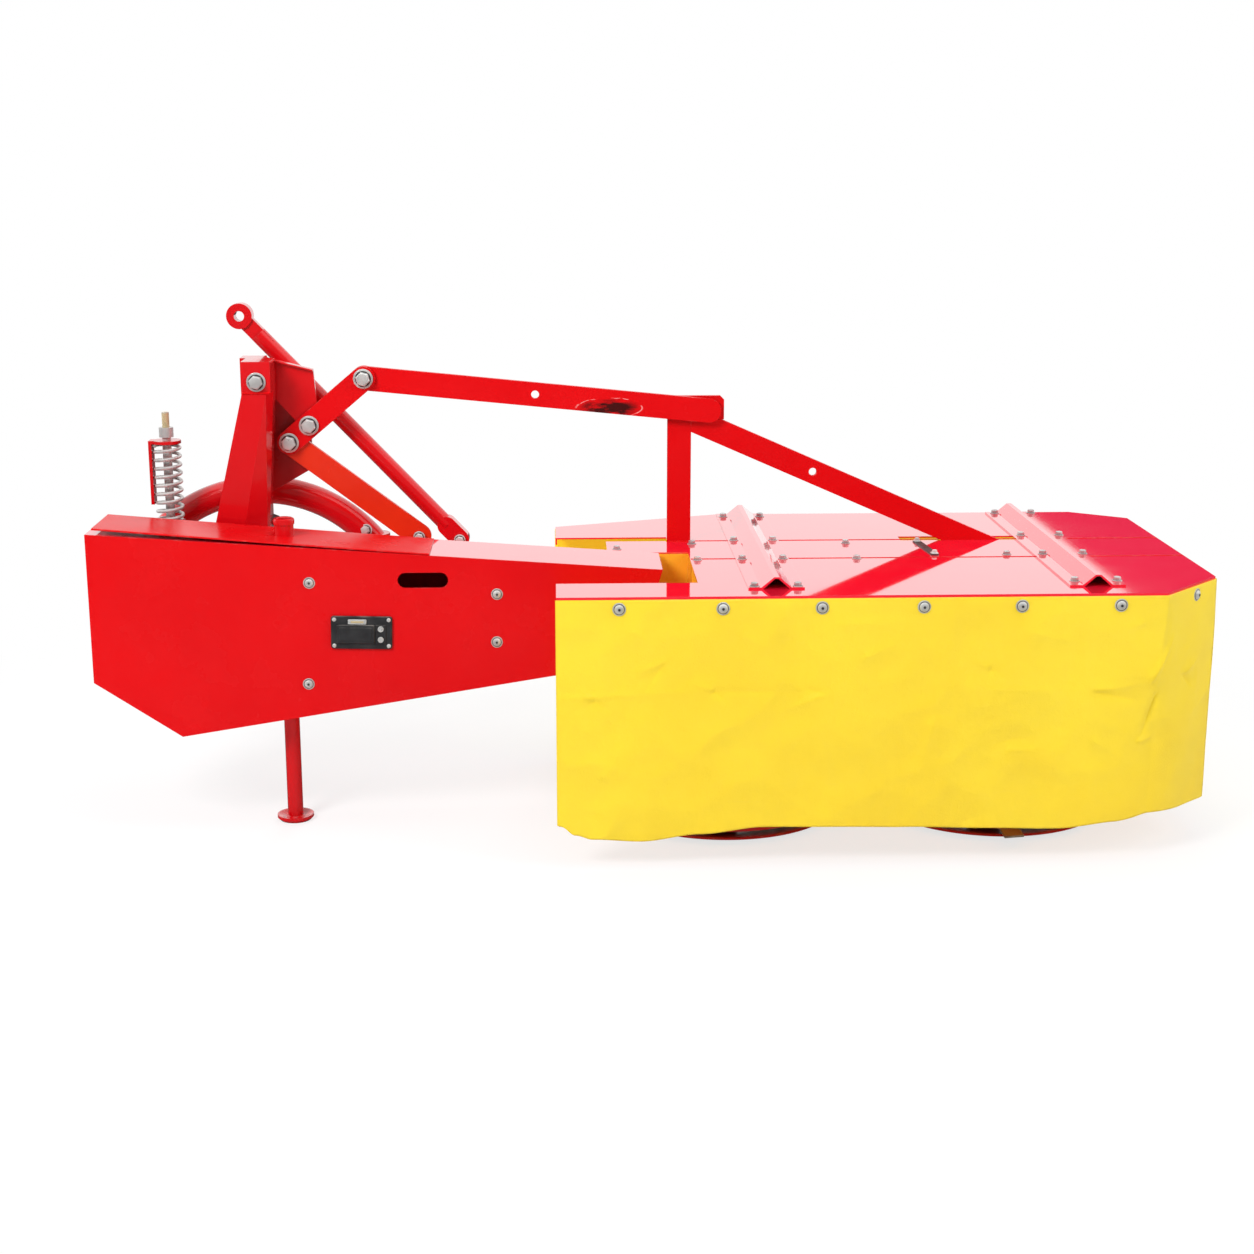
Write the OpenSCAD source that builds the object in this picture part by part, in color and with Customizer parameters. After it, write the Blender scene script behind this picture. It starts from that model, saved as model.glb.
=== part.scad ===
// Two-drum rotary mower with a belt housing, a lift linkage and a three-point hitch frame.
// Lengths are in millimetres. X runs from the hitch end to the outer end, Y is the driving direction.
// The rear left corner of the deck is the zero of the layout, and placed() moves it to the frame's origin.

/* [Deck] */
// Width of the deck from its left edge to its right edge
deck_w = 1557; // [1300:1:1800]
// Depth of the deck in the driving direction
deck_d = 1010; // [900:1:1200]
// Height of the deck's top face
deck_top = 648; // [620:1:700]
// Thickness of the deck plates
plate_t = 4; // [3:0.5:6]
// Height of the folded lip round the deck
deck_lip = 18; // [10:1:30]
// Length of the straight rear edge
rear_edge = 1394; // [1200:1:1450]
// Depth of the cut rear right corner
rear_cut = 170; // [100:1:250]
// Size of the cut front right corner along X and Y
front_cut = [137, 98]; // [60:1:200]
// Size of the slanted front left edge along X and Y
left_cut = [447, 168]; // [80:1:500]
// Distance from the rear edge to the seam behind the gear strip
seam_rear = 413; // [380:1:430]
// Distance from the rear edge to the seam in front of the gear strip
seam_front = 639; // [620:1:680]
// Left end of the gear strip
strip_left = 129; // [100:1:200]
// Notch for the belt housing: its right end and its rear edge
notch = [330, 145]; // [100:1:400]
// Gap at the left between the gear strip and the front plate: its right end and its front edge
side_gap = [286, 690]; // [200:1:800]
// Slot for the brace: left end, length and width
brace_slot = [888, 304, 50]; // [20:1:1000]

/* [Ribs] */
// Places of the two ribs along X
rib_x = [506, 1250]; // [300:1:1400]
// Distance of the ribs' rear ends from the rear edge
rib_y = 70; // [40:1:120]
// Distance of the ribs' front ends from the front edge
rib_end = 15; // [10:1:60]
// Width over the flanges
rib_w = 130; // [100:1:160]
// Width of the raised part at its foot
rib_foot = 70; // [50:1:80]
// Width of the ridge
rib_ridge = 12; // [8:1:20]
// Height of the ridge over the deck
rib_h = 28; // [20:1:40]

/* [Drums] */
// Place of the left drum's axis along X
drum_x = 415; // [400:1:430]
// Distance between the drum axes
drum_pitch = 675; // [660:1:690]
// Place of the drum axes along Y
drum_y = 430; // [420:1:440]
// Radius of a drum
drum_r = 165; // [140:1:180]
// Height of a drum's top
drum_top = 508; // [480:1:510]
// Wall of a drum
drum_wall = 4; // [3:0.5:8]
// Height of the flare at a drum's foot
flare_h = 70; // [50:1:90]
// Radius of the cutting disc
disc_r = 285; // [275:1:295]
// Height of the cutting disc's underside
disc_z = 34; // [32:1:40]
// Thickness of the cutting disc
disc_t = 8; // [6:1:10]
// Number of knives on a disc
knife_count = 3; // [2:1:3]
// Radius that the knife tips reach
knife_reach = 340; // [320:1:340]
// Length, width and thickness of a knife
knife = [112, 48, 5]; // [3:1:120]
// Turn of the left and right knives in degrees, half a pitch apart so that they pass each other
knife_phase = [-30, -90]; // [-120:1:120]
// Radius of the sliding dish
dish_r = 290; // [280:1:300]
// Radius of the flat under the dish
dish_flat_r = 200; // [180:1:220]
// Height of the dish's rim
dish_h = 20; // [18:1:24]
// Wall of the dish
dish_wall = 5; // [4:0.5:8]
// Radius of the drum shafts
shaft_r = 25; // [20:1:30]

/* [Gear beam] */
// Left end of the gear beam
gear_left = 150; // [140:1:180]
// Distance of the gear beam's right end from the deck's right edge
gear_margin = 157; // [120:1:200]
// Distance of the gear beam's rear face behind the drum axes
gear_back = 90; // [85:1:100]
// Height of the gear beam
gear_h = 76; // [60:1:90]
// Radius of the bearing hubs
gear_hub_r = 80; // [60:1:95]

/* [Belt housing] */
// Place of the housing's rear face along Y
housing_y = 280; // [260:1:290]
// Depth of the housing
housing_d = 200; // [180:1:210]
// Sheet thickness
sheet_t = 4; // [3:0.5:5]
// Left end of the housing
housing_left = -1110; // [-1200:1:-1080]
// Right end of the housing
housing_right = 256; // [240:1:270]
// Height of the top edge at the left end
housing_top_left = 745; // [720:1:760]
// Height of the top edge at the right end
housing_top_right = 650; // [640:1:655]
// Height of the lower left corner
housing_low_left = 383; // [360:1:420]
// Place of the lowest corner along X
toe_x = -905; // [-950:1:-860]
// Height of the lowest corner
toe_z = 246; // [230:1:260]
// Lower right corner of the housing along X and Z
housing_heel = [186, 421]; // [150:1:440]
// Hand slot in the cover: centre along X, centre along Z, length and height
hand_slot = [-317, 629, 120, 37]; // [-400:1:700]

/* [Leg] */
// Place of the support leg along X
leg_x = -655; // [-700:1:-620]
// Outer diameter of the leg tube
leg_d = 38; // [34:1:42]
// Wall of the leg tube
leg_wall = 4; // [3:0.5:6]
// Length of the leg
leg_len = 470; // [420:1:480]
// Diameter of the foot
foot_d = 90; // [70:1:110]
// Height of the foot's dished rim
foot_h = 14; // [10:1:18]
// Height of the sleeve's cap over the floor
sleeve_top = 762; // [750:1:775]
// Wall of the sleeve
sleeve_wall = 4; // [3:0.5:5]

/* [Deck hinge and drive] */
// Place of the deck's hinge along X and Z
hinge = [180, 520]; // [150:1:540]
// Outer radius of the hinge tube
hinge_r = 40; // [35:1:45]
// Wall of the hinge tube
hinge_wall = 8; // [6:1:10]
// Place of the drive shaft along X and Z
drive = [-830, 500]; // [-860:1:520]
// Radius of the drive hub
hub_r = 62; // [55:1:66]
// Length of the drive hub in front of the housing
hub_len = 122; // [115:1:130]
// Radius of the input shaft
input_r = 17.5; // [15:0.5:20]
// Radius of the input shaft's journal in the hub
journal_r = 22; // [20:1:25]
// Length of the free end of the input shaft
input_len = 95; // [80:1:110]

/* [Kingpost] */
// Radius of the collar that turns on the drive hub
collar_r = 92; // [85:1:100]
// Length of the collar
collar_len = 92; // [80:1:96]
// Depth of the kingpost channel
post_d = 88; // [70:1:92]
// Height of the kingpost's head
post_top = 1126; // [1100:1:1140]
// Height at which the channel ends under the head
post_neck = 1050; // [1030:1:1060]
// Height of the channel's foot
post_foot = 555; // [550:1:575]
// Left edge, fold and right edge of the channel at its foot
foot_edges = [-880, -800, -722]; // [-900:1:-700]
// Left edge, fold and right edge of the channel at its neck
neck_edges = [-760, -702, -690]; // [-800:1:-680]
// Rear web of the kingpost: left edge and right edge
web_edges = [-775, -716]; // [-800:1:-715]
// Thickness of the bracket plate and of the gusset
bracket_t = 12; // [10:1:14]
// Right end of the bracket's cap along X, and the cap's height there
cap_end = [-598, 1096]; // [-620:1:1110]

/* [Linkage] */
// Width of the flat bars
bar_w = 60; // [50:1:64]
// Thickness of the flat bars
bar_t = 12; // [10:1:14]
// Rear face of the flat bars along Y
bar_y = 606; // [600:1:612]
// Radius of the pivot pins
pin_r = 10; // [8:0.5:11]
// Thickness of a lever plate
lever_t = 8; // [6:1:10]
// Place of the lever's pivot along X and Z
lever = [-612, 957]; // [-640:1:980]
// Length of the lever's short arm
lever_short = 67; // [66:1:72]
// Length of the lever's long arm
lever_reach = 180; // [160:1:190]
// Slope of the lever in degrees
lever_angle = 40; // [36:1:42]
// Lower pivot of the link along X and Z
link_low = [-345, 672]; // [-360:1:690]
// Sliding pin of the tie bar along X and Z
tie_pin = [330, 993]; // [300:1:1010]
// Room in the guide slot behind and in front of the tie bar's pin, and the slot's height
tie_slot = [12, 62, 30]; // [10:1:80]
// Hole in the tie bar: its share of the bar's length from the lever
tie_hole_share = 0.53; // [0.3:0.01:0.7]
// Overhang of the tie bar past its sliding pin
tie_tail = 60; // [40:1:80]

/* [Lift frame] */
// Left edge of the upright along X
upright_x = 285; // [280:1:292]
// Upper end of the brace's centre line along X and Z
brace_high = [331, 970]; // [300:1:990]
// Lower end of the brace's centre line along X and Z
brace_low = [1165, 605]; // [590:1:1180]
// Distance of the head plate's end from the sliding pin
head_reach = 98; // [80:1:110]
// Hole in the brace: its share of the brace's length from the upper end
brace_hole_share = 0.39; // [0.2:0.01:0.6]

/* [Hitch frame] */
// Middle of the hoop along X
hoop_x = -751; // [-760:1:-740]
// Place of the hoop along Y
hoop_y = 702; // [695:1:715]
// Height of the hoop's centre line at its top
hoop_top = 778; // [760:1:790]
// Half the distance between the hoop's legs
hoop_half = 285; // [275:1:295]
// Rise of the hoop's arc over its shoulders
hoop_rise = 140; // [120:1:160]
// Amount by which the hoop's legs are thicker than its tube
leg_extra = 8; // [6:1:12]
// Diameter of the hoop tube
hoop_d = 70; // [60:1:76]
// Height of the lower hitch pins
hitch_z = 535; // [520:1:560]
// Radius of the lower hitch pins
hitch_pin_r = 11; // [10:0.5:14]
// Free length of a lower hitch pin
hitch_pin_len = 80; // [70:1:90]
// Distance between the shoulders of the lower hitch pins
hitch_span = 683; // [670:1:700]

/* [Safety spring] */
// Place of the swing rod along X and Y
rod = [-967, 600]; // [-990:1:610]
// Radius of the swing rod
rod_r = 11; // [9:0.5:12]
// Height of the swing rod's top
rod_top = 992; // [970:1:1000]
// Outer diameter of the spring
spring_d = 70; // [60:1:72]
// Wire diameter of the spring
wire_d = 8; // [7:0.5:9]
// Number of turns
spring_turns = 9; // [7:1:10]
// Height of the spring's seat
spring_low = 712; // [705:1:720]
// Height of the lug under the spring
lug_h = 120; // [100:1:130]
// Height of the web between the lug and the hoop
lug_web_h = 36; // [30:1:38]
// Height of the clamp that holds the spring down
spring_high = 914; // [900:1:920]
// Height of the clamp's lower end over the spring's seat
clamp_lift = 50; // [30:1:80]
// Flared plate under the spring: reach to the left and to the right, and height
flare_plate = [70, 58, 66]; // [50:1:80]

/* [Stay] */
// Lower pivot of the stay along X and Z
stay_low = [-246, 650]; // [-260:1:660]
// Eye of the stay along X and Z
stay_eye = [-785, 1221]; // [-800:1:1240]
// Middle of the stay along Y
stay_y = 690; // [685:1:696]
// Diameter of the stay tube
stay_d = 42; // [36:1:46]
// Outer radius of the eye
eye_r = 32; // [28:1:36]
// Radius of the eye's hole
eye_bore_r = 12.75; // [9.5:0.05:14]
// Width of the eye
eye_w = 38; // [30:1:44]

/* [Curtain] */
// Thickness of the curtain
curtain_t = 5; // [3:0.5:6]
// Height of the curtain's lower edge
curtain_low = 86; // [70:1:110]

/* [Hidden] */
$fn = 64;
// Cuts run past a face by this much
over = 2;
// Radial play of a pin or shaft that turns in its bore
play = 0.06;
// Running gap between a drum and the hub over it
drum_gap = 6;
// Side play between the bars of the linkage
side_play = 1.5;
// Play between flat faces that slide on each other
face_play = 0.5;
red = [0.86, 0.02, 0.04];
orange_red = [0.92, 0.12, 0.03];
yellow = [0.98, 0.83, 0.1];
steel = [0.72, 0.72, 0.70];
dark_red = [0.55, 0.03, 0.05];

plate_low = deck_top - plate_t;
rib_len = deck_d - rib_y - rib_end;
housing_front = housing_y + housing_d;
gear_y = drum_y - gear_back;
gear_front = seam_front - bar_t;
gear_low = plate_low - gear_h;
gear_right = deck_w - gear_margin;
hinge_end = housing_front + 4*sheet_t;
hub_low = drum_top + drum_gap;
shaft_top = hub_low + gear_h - 2*drum_gap;
lever_dir = [cos(lever_angle), sin(lever_angle)];
lever_foot = lever - lever_short*lever_dir;
lever_tip = lever + lever_reach*lever_dir;
lever_near_y = bar_y - side_play - lever_t;
lever_far_y = bar_y + bar_t + side_play;
upright_y = gear_front;
pin_left = hoop_x - hitch_span/2 - hitch_pin_len;
middle_x = (min(pin_left, housing_left) + deck_w + curtain_t)/2;
middle_y = deck_d/2;

// Moves the layout so that the middle of the machine's box stands over the origin
module placed() { translate([-middle_x, -middle_y, 0]) children(); }

// Plate with an outline in X and Z and a thickness along Y
module plate_xz(y, t) { translate([0, y + t, 0]) rotate([90, 0, 0]) linear_extrude(t) children(); }

// Round bar along Y through a point given by X and Z
module rod_y(p, r, y0, y1) { translate([p[0], y0, p[1]]) rotate([-90, 0, 0]) cylinder(h = y1 - y0, r = r); }

// Outline of a flat bar with round ends between two points
module bar_2d(p, q, w) {
    run = q - p;
    translate(p) rotate(atan2(run[1], run[0])) {
        circle(d = w);
        translate([norm(run), 0]) circle(d = w);
        translate([0, -w/2]) square([norm(run), w]);
    }
}

// Round bar in a plane of constant Y between two points given by X and Z
module rod_xz(p, q, y, r) {
    run = q - p;
    translate([p[0], y, p[1]]) rotate([0, atan2(run[0], run[1]), 0]) cylinder(h = norm(run), r = r);
}

// Outline of the whole deck, counter-clockwise from the rear left corner
function deck_outline() = [[0, 0], [rear_edge, 0], [deck_w, rear_cut], [deck_w, deck_d - front_cut[1]],
    [deck_w - front_cut[0], deck_d], [left_cut[0], deck_d], [0, deck_d - left_cut[1]]];

// Outline set inward by t from a counter-clockwise outline
function inset(rim, t) =
    let (n = len(rim), ways = [for (i = [0 : n - 1]) let (run = rim[(i + 1) % n] - rim[i]) run/norm(run)])
    [for (i = [0 : n - 1]) let (a = ways[(i + n - 1) % n], b = ways[i], turn = a[0]*b[1] - a[1]*b[0])
        rim[i] + t/turn*(b - a)];

// Wall round an outline, inside it
module rim_2d(rim, t) {
    difference() {
        polygon(rim);
        polygon(inset(rim, t));
    }
}

// Part of the deck between two distances from the rear edge: the sheet and its folded lip
module deck_sheet(y0, y1) {
    translate([0, 0, plate_low]) linear_extrude(plate_t) intersection() {
        polygon(deck_outline());
        translate([0, y0]) square([deck_w, y1 - y0]);
    }
}

module deck_pan(y0, y1) {
    deck_sheet(y0, y1);
    translate([0, 0, deck_top - deck_lip]) linear_extrude(deck_lip - plate_t) intersection() {
        rim_2d(deck_outline(), plate_t);
        translate([0, y0]) square([deck_w, y1 - y0]);
    }
}

module notch_cut(x0, y0, x1, y1) {
    translate([x0, y0, deck_top - deck_lip - over]) cube([x1 - x0, y1 - y0, deck_lip + 2*over]);
}

module brace_cut() {
    notch_cut(brace_slot[0], gear_front, brace_slot[0] + brace_slot[1], gear_front + brace_slot[2]);
    notch_cut(upright_x - over, gear_front, upright_x + bar_w + over, gear_front + bar_t + 2*over);
}

module deck_rear() {
    color(red) placed() difference() {
        deck_pan(0, seam_rear);
        notch_cut(-over, notch[1], notch[0], seam_rear + over);
    }
}

module deck_strip() {
    color(red) placed() difference() {
        deck_sheet(seam_rear, seam_front);
        notch_cut(-over, seam_rear - over, strip_left, seam_front + over);
        notch_cut(-over, seam_rear - over, notch[0], hinge_end);
        brace_cut();
    }
}

module deck_front() {
    color(red) placed() difference() {
        deck_pan(seam_front, deck_d);
        notch_cut(-over, seam_front - over, side_gap[0], side_gap[1]);
        brace_cut();
    }
}

// Ridge-shaped rib that lies across the seams
module rib(x) {
    w = rib_w/2;
    f = rib_foot/2;
    r = rib_ridge/2;
    t = plate_t;
    color(red) placed() translate([x, rib_y, deck_top]) plate_xz(0, rib_len)
        polygon([[-w, 0], [-w, t], [-f, t], [-r, rib_h], [r, rib_h], [f, t], [w, t], [w, 0],
            [f - t, 0], [r - t/2, rib_h - t], [t/2 - r, rib_h - t], [t - f, 0]]);
}

module rib_left() { rib(rib_x[0]); }
module rib_right() { rib(rib_x[1]); }

module gear_beam() {
    color(dark_red) placed() difference() {
        union() {
            translate([gear_left, gear_y, gear_low]) cube([gear_right - gear_left, gear_front - gear_y, gear_h]);
            for (i = [0, 1]) translate([drum_x + i*drum_pitch, drum_y, hub_low])
                cylinder(h = gear_low - hub_low + over, r = gear_hub_r);
        }
        for (i = [0, 1]) translate([drum_x + i*drum_pitch, drum_y, hub_low - over])
            cylinder(h = gear_h, r = shaft_r + play);
        translate([gear_left - over, gear_y - over, gear_low - over])
            cube([notch[0] - gear_left + over, hinge_end - gear_y + over, gear_h + 2*over]);
    }
}

// Hollow hinge tube that carries the belt housing, with the block that holds it under the gear beam
module hinge_tube() {
    y0 = housing_y - 5*sheet_t;
    y1 = hinge_end;
    color(dark_red) placed() difference() {
        union() {
            rod_y(hinge, hinge_r, y0, y1);
            translate([hinge[0] - 1.5*hinge_r, y1, hinge[1] - 1.5*hinge_r])
                cube([3*hinge_r, gear_front - y1, gear_low - hinge[1] + 1.5*hinge_r]);
        }
        rod_y(hinge, hinge_r - hinge_wall, y0 - over, y1);
    }
}

module tie_slot_2d() {
    bar_2d(tie_pin - [tie_slot[0], 0], tie_pin + [tie_slot[1], 0], tie_slot[2]);
}

module upright_2d() {
    corner = bar_w/6;
    right = tie_pin[0] + head_reach;
    translate([upright_x, gear_low]) square([bar_w, tie_pin[1] - gear_low]);
    low = tie_pin[1] - bar_w/2;
    high = tie_pin[1] + bar_w/2;
    polygon([[upright_x, low], [right, low], [right, high - corner], [right - corner, high],
        [upright_x, high]]);
}

// Upright with the slotted head plate that guides the tie bar
module lift_upright() {
    color(red) placed() plate_xz(upright_y, bar_t) difference() {
        upright_2d();
        tie_slot_2d();
    }
}

// Brace from the head plate down through the deck's slot to the gear beam
module lift_brace() {
    color(red) placed() plate_xz(upright_y, bar_t) difference() {
        intersection() {
            bar_2d(brace_high, brace_low, bar_w);
            translate([0, gear_low]) square([deck_w, tie_pin[1]]);
        }
        upright_2d();
        tie_slot_2d();
        translate(brace_high + brace_hole_share*(brace_low - brace_high)) circle(r = pin_r);
    }
}

// Curtain outside the lip, along the sides of the outline from corner i to corner j
module curtain_wall(i, j) {
    rim = deck_outline();
    outer = inset(rim, -curtain_t);
    color(yellow) placed() translate([0, 0, curtain_low]) linear_extrude(plate_low - curtain_low)
        polygon(concat([for (k = [i : j]) outer[k]], [for (k = [j : -1 : i]) rim[k]]));
}

module curtain_rear() { curtain_wall(0, 2); }
module curtain_end() { curtain_wall(2, 4); }
module curtain_front() { curtain_wall(4, 6); }

// Drum with its flare, cutting disc and shaft
module drum(x) {
    inner = drum_r - drum_wall;
    flare = disc_z + disc_t + flare_h;
    color(red) placed() translate([x, drum_y, 0]) rotate_extrude()
        polygon([[0, disc_z + 2*disc_t], [shaft_r, disc_z + 2*disc_t], [shaft_r, drum_top - 2*drum_wall],
            [inner, drum_top - 2*drum_wall], [inner, flare - drum_wall],
            [disc_r - 6*drum_wall, disc_z + disc_t], [inner, disc_z + disc_t], [inner, disc_z],
            [disc_r, disc_z], [disc_r, disc_z + disc_t],
            [drum_r, flare], [drum_r, drum_top], [shaft_r, drum_top], [shaft_r, shaft_top], [0, shaft_top]]);
}

module drum_left() { drum(drum_x); }
module drum_right() { drum(drum_x + drum_pitch); }

module knives(x, phase) {
    color(steel) placed() translate([x, drum_y, disc_z - knife[2]]) rotate(phase)
        for (i = [0 : knife_count - 1]) rotate(i*360/knife_count)
            translate([knife_reach - knife[0], 0, 0]) linear_extrude(knife[2])
                polygon([[0, -knife[1]/3], [knife[0]/3, -knife[1]/2], [knife[0], -knife[1]/2],
                    [knife[0] - knife[1]/6, knife[1]/2], [knife[0]/3, knife[1]/2], [0, knife[1]/3]]);
}

module knives_left() { knives(drum_x, knife_phase[0]); }
module knives_right() { knives(drum_x + drum_pitch, knife_phase[1]); }

module dish(x) {
    slope_t = 1.2*dish_wall;
    hub = shaft_r + play;
    color(red) placed() translate([x, drum_y, 0]) rotate_extrude()
        polygon([[0, 0], [dish_flat_r, 0], [dish_r, dish_h - dish_wall], [dish_r, dish_h],
            [dish_r - dish_wall, dish_h], [dish_flat_r - dish_wall, slope_t], [hub + 3*dish_wall, slope_t],
            [hub + 3*dish_wall, disc_z + 6*disc_t], [hub, disc_z + 6*disc_t], [hub, slope_t], [0, slope_t]]);
}

module dish_left() { dish(drum_x); }
module dish_right() { dish(drum_x + drum_pitch); }

// Outline of the belt housing in X and Z
function housing_outline() = [[housing_left, housing_top_left], [housing_left, housing_low_left],
    [toe_x, toe_z], housing_heel, [housing_right, housing_top_right]];

module housing_2d() { polygon(housing_outline()); }

module hinge_hole() { rod_y(hinge, hinge_r + play, housing_y - over, housing_front + over); }

module housing_cover() {
    half = [(hand_slot[2] - hand_slot[3])/2, 0];
    middle = [hand_slot[0], hand_slot[1]];
    color(red) placed() difference() {
        plate_xz(housing_y, sheet_t) difference() {
            housing_2d();
            bar_2d(middle - half, middle + half, hand_slot[3]);
        }
        hinge_hole();
    }
}

// Trough of the housing: front sheet and the walls round its edge
module housing_body() {
    color(red) placed() difference() {
        union() {
            plate_xz(housing_front - sheet_t, sheet_t) housing_2d();
            plate_xz(housing_y + sheet_t, housing_d - 2*sheet_t) rim_2d(housing_outline(), sheet_t);
        }
        hinge_hole();
        sleeve_hole();
        rod_y(drive, hub_r - 2*sheet_t, housing_front - 2*sheet_t, housing_front + over);
    }
}

leg_y = housing_y + housing_d/2;
sleeve_r = leg_d/2 + play + sleeve_wall;
sleeve_low = toe_z + (leg_x - toe_x)*(housing_heel[1] - toe_z)/(housing_heel[0] - toe_x);

module sleeve_hole() {
    translate([leg_x, leg_y, 0]) cylinder(h = sleeve_top, r = sleeve_r);
}

module leg_sleeve() {
    color(red) placed() translate([leg_x, leg_y, 0]) difference() {
        translate([0, 0, sleeve_low - sleeve_wall]) cylinder(h = sleeve_top - sleeve_low, r = sleeve_r);
        cylinder(h = sleeve_top - 3*sleeve_wall, r = leg_d/2 + play);
    }
}

module leg() {
    color(red) placed() translate([leg_x, leg_y, 0]) rotate_extrude()
        polygon([[0, 0], [foot_d/2 - foot_h/2, 0], [foot_d/2, foot_h/2], [foot_d/2, foot_h],
            [foot_d/2 - leg_wall, foot_h], [leg_d/2 + leg_wall, foot_h/2],
            [leg_d/2, foot_h/2 + leg_wall], [leg_d/2, leg_len], [leg_d/2 - leg_wall, leg_len],
            [leg_d/2 - leg_wall, leg_wall], [0, leg_wall]]);
}

module drive_hub() {
    color(dark_red) placed() difference() {
        rod_y(drive, hub_r, housing_front, housing_front + hub_len);
        rod_y(drive, journal_r + play, housing_front - over, housing_front + hub_len + over);
    }
}

module input_shaft() {
    hub_end = housing_front + hub_len;
    color(steel) placed() {
        rod_y(drive, journal_r, housing_front + sheet_t, hub_end);
        rod_y(drive, input_r, hub_end, hub_end + input_len);
    }
}

// Bracket with two ears in front of the housing and a pin through them
module ear_bracket(pin, y0, y1, r) {
    ear_w = 2*(r + sheet_t);
    shelf_z = pin[1] - 5*r;
    translate([pin[0] - ear_w/2, housing_front, shelf_z]) cube([ear_w, y1 - housing_front, 2*sheet_t]);
    for (y = [y0, y1 - 2*sheet_t]) plate_xz(y, 2*sheet_t) {
        translate([pin[0] - ear_w/2, shelf_z]) square([ear_w, pin[1] - shelf_z]);
        translate(pin) circle(d = ear_w);
    }
    rod_y(pin, r, y0, y1);
}

module link_bracket() {
    y0 = lever_near_y - side_play;
    y1 = lever_far_y + lever_t + side_play;
    color(red) placed() ear_bracket(link_low, y0, y1, pin_r);
}

module stay_bracket() {
    half = eye_w/2 + side_play + 2*sheet_t;
    color(red) placed() ear_bracket(stay_low, stay_y - half, stay_y + half, pin_r);
}

collar_y = housing_front + hub_len - collar_len - 4*side_play;
post_y = housing_front + hub_len - post_d - 9*side_play;

function post_outline(edges) = [[edges[0], 0], [edges[1], 0], [edges[2], post_d/2], [edges[2], post_d],
    [edges[0], post_d]];

module post_slab(rim, z) { translate([0, post_y, z]) linear_extrude(sheet_t) polygon(rim); }

// Tapered folded sheet channel, open towards the tractor
module post_channel() {
    wall = 2*sheet_t;
    difference() {
        hull() {
            post_slab(post_outline(foot_edges), post_foot);
            post_slab(post_outline(neck_edges), post_neck - sheet_t);
        }
        hull() for (y = [0, 2*wall]) translate([0, y, 0]) {
            post_slab(inset(post_outline(foot_edges), wall), post_foot - sheet_t);
            post_slab(inset(post_outline(neck_edges), wall), post_neck - 2*sheet_t);
        }
    }
}

// Channel that stands on the collar, with its head and rear web
module kingpost() {
    color(red) placed() difference() {
        union() {
            post_channel();
            rod_y(drive, collar_r, collar_y, collar_y + collar_len);
            translate([neck_edges[0], post_y, post_neck])
                cube([neck_edges[2] - neck_edges[0], post_d, post_top - post_neck]);
            translate([web_edges[0], post_y + post_d - over, post_foot + collar_r])
                cube([web_edges[1] - web_edges[0], web_depth + over, post_top - post_foot - collar_r]);
        }
        rod_y(drive, hub_r + play, post_y - over, collar_y + collar_len + over);
    }
}

gusset_y = lever_far_y + lever_t + 5*side_play;
web_depth = gusset_y + bracket_t - post_y - post_d;

// Plate between the lever's plates, with its cap and the lever's pivot pin
module lever_bracket() {
    neck = 0.8*bar_w;
    web = web_edges[1];
    color(red) placed() {
        plate_xz(bar_y, bracket_t) {
            translate(lever) circle(d = neck);
            polygon([[web, post_top], cap_end, lever + [neck/2, 0], lever - [neck/2, 0],
                [web, lever[1] + 1.5*bar_w]]);
        }
        plate_xz(bar_y - bracket_t, 2*bracket_t) polygon([[web, post_top], [web, post_top - sheet_t],
            cap_end - [0, sheet_t], cap_end]);
        rod_y(lever, pin_r, lever_near_y - side_play, lever_far_y + lever_t + side_play);
    }
}

module kingpost_gusset() {
    web = web_edges[1];
    low = lever - [0, 1.7*lever_short];
    color(dark_red) placed() plate_xz(gusset_y, bracket_t)
        polygon([[web, lever[1] + 1.5*bar_w], lever + [0, pin_r], low, [web, low[1] - bar_w]]);
}

lug_low = spring_low - lug_h;
arm_top = lug_low - face_play;

// Arm from the collar to the swing rod
module swing_arm() {
    arm_h = 10*sheet_t;
    arm_w = 4*rod_r;
    run = [drive[0], collar_y + collar_len/2] - rod;
    color(red) placed() intersection() {
        translate([rod[0], rod[1], arm_top - arm_h]) rotate(atan2(run[1], run[0])) {
            cylinder(h = arm_h, d = arm_w);
            translate([0, -arm_w/2, 0]) cube([norm(run), arm_w, arm_h]);
        }
        difference() {
            translate([hoop_x - 2*hoop_half, housing_front + over, 0]) cube([4*hoop_half, deck_d, post_top]);
            rod_y(drive, collar_r, collar_y, collar_y + collar_len);
            translate([foot_edges[0], 0, 0]) cube([post_d, deck_d, post_top]);
        }
    }
}

// Rod on which the hitch frame swings, with its sleeve and stud at the top
module swing_rod() {
    sleeve_z = spring_high + 3*wire_d;
    color(steel) placed() translate([rod[0], rod[1], 0]) {
        translate([0, 0, arm_top]) cylinder(h = sleeve_z - arm_top, r = rod_r);
        translate([0, 0, sleeve_z - wire_d]) cylinder(h = 3*wire_d, r = 1.6*rod_r);
        cylinder_top(sleeve_z);
    }
}

module cylinder_top(z) { translate([0, 0, z]) cylinder(h = rod_top - z, r = 0.8*rod_r); }

module lever_plates() {
    color(red) placed() {
        for (y = [lever_near_y, lever_far_y]) difference() {
            plate_xz(y, lever_t) bar_2d(lever_foot, lever_tip, bar_w);
            rod_y(lever, pin_r + play, y - over, y + lever_t + over);
        }
        rod_y(lever_foot, pin_r, lever_near_y, lever_far_y + lever_t);
        rod_y(lever_tip, pin_r, lever_near_y, lever_far_y + lever_t);
    }
}

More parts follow.
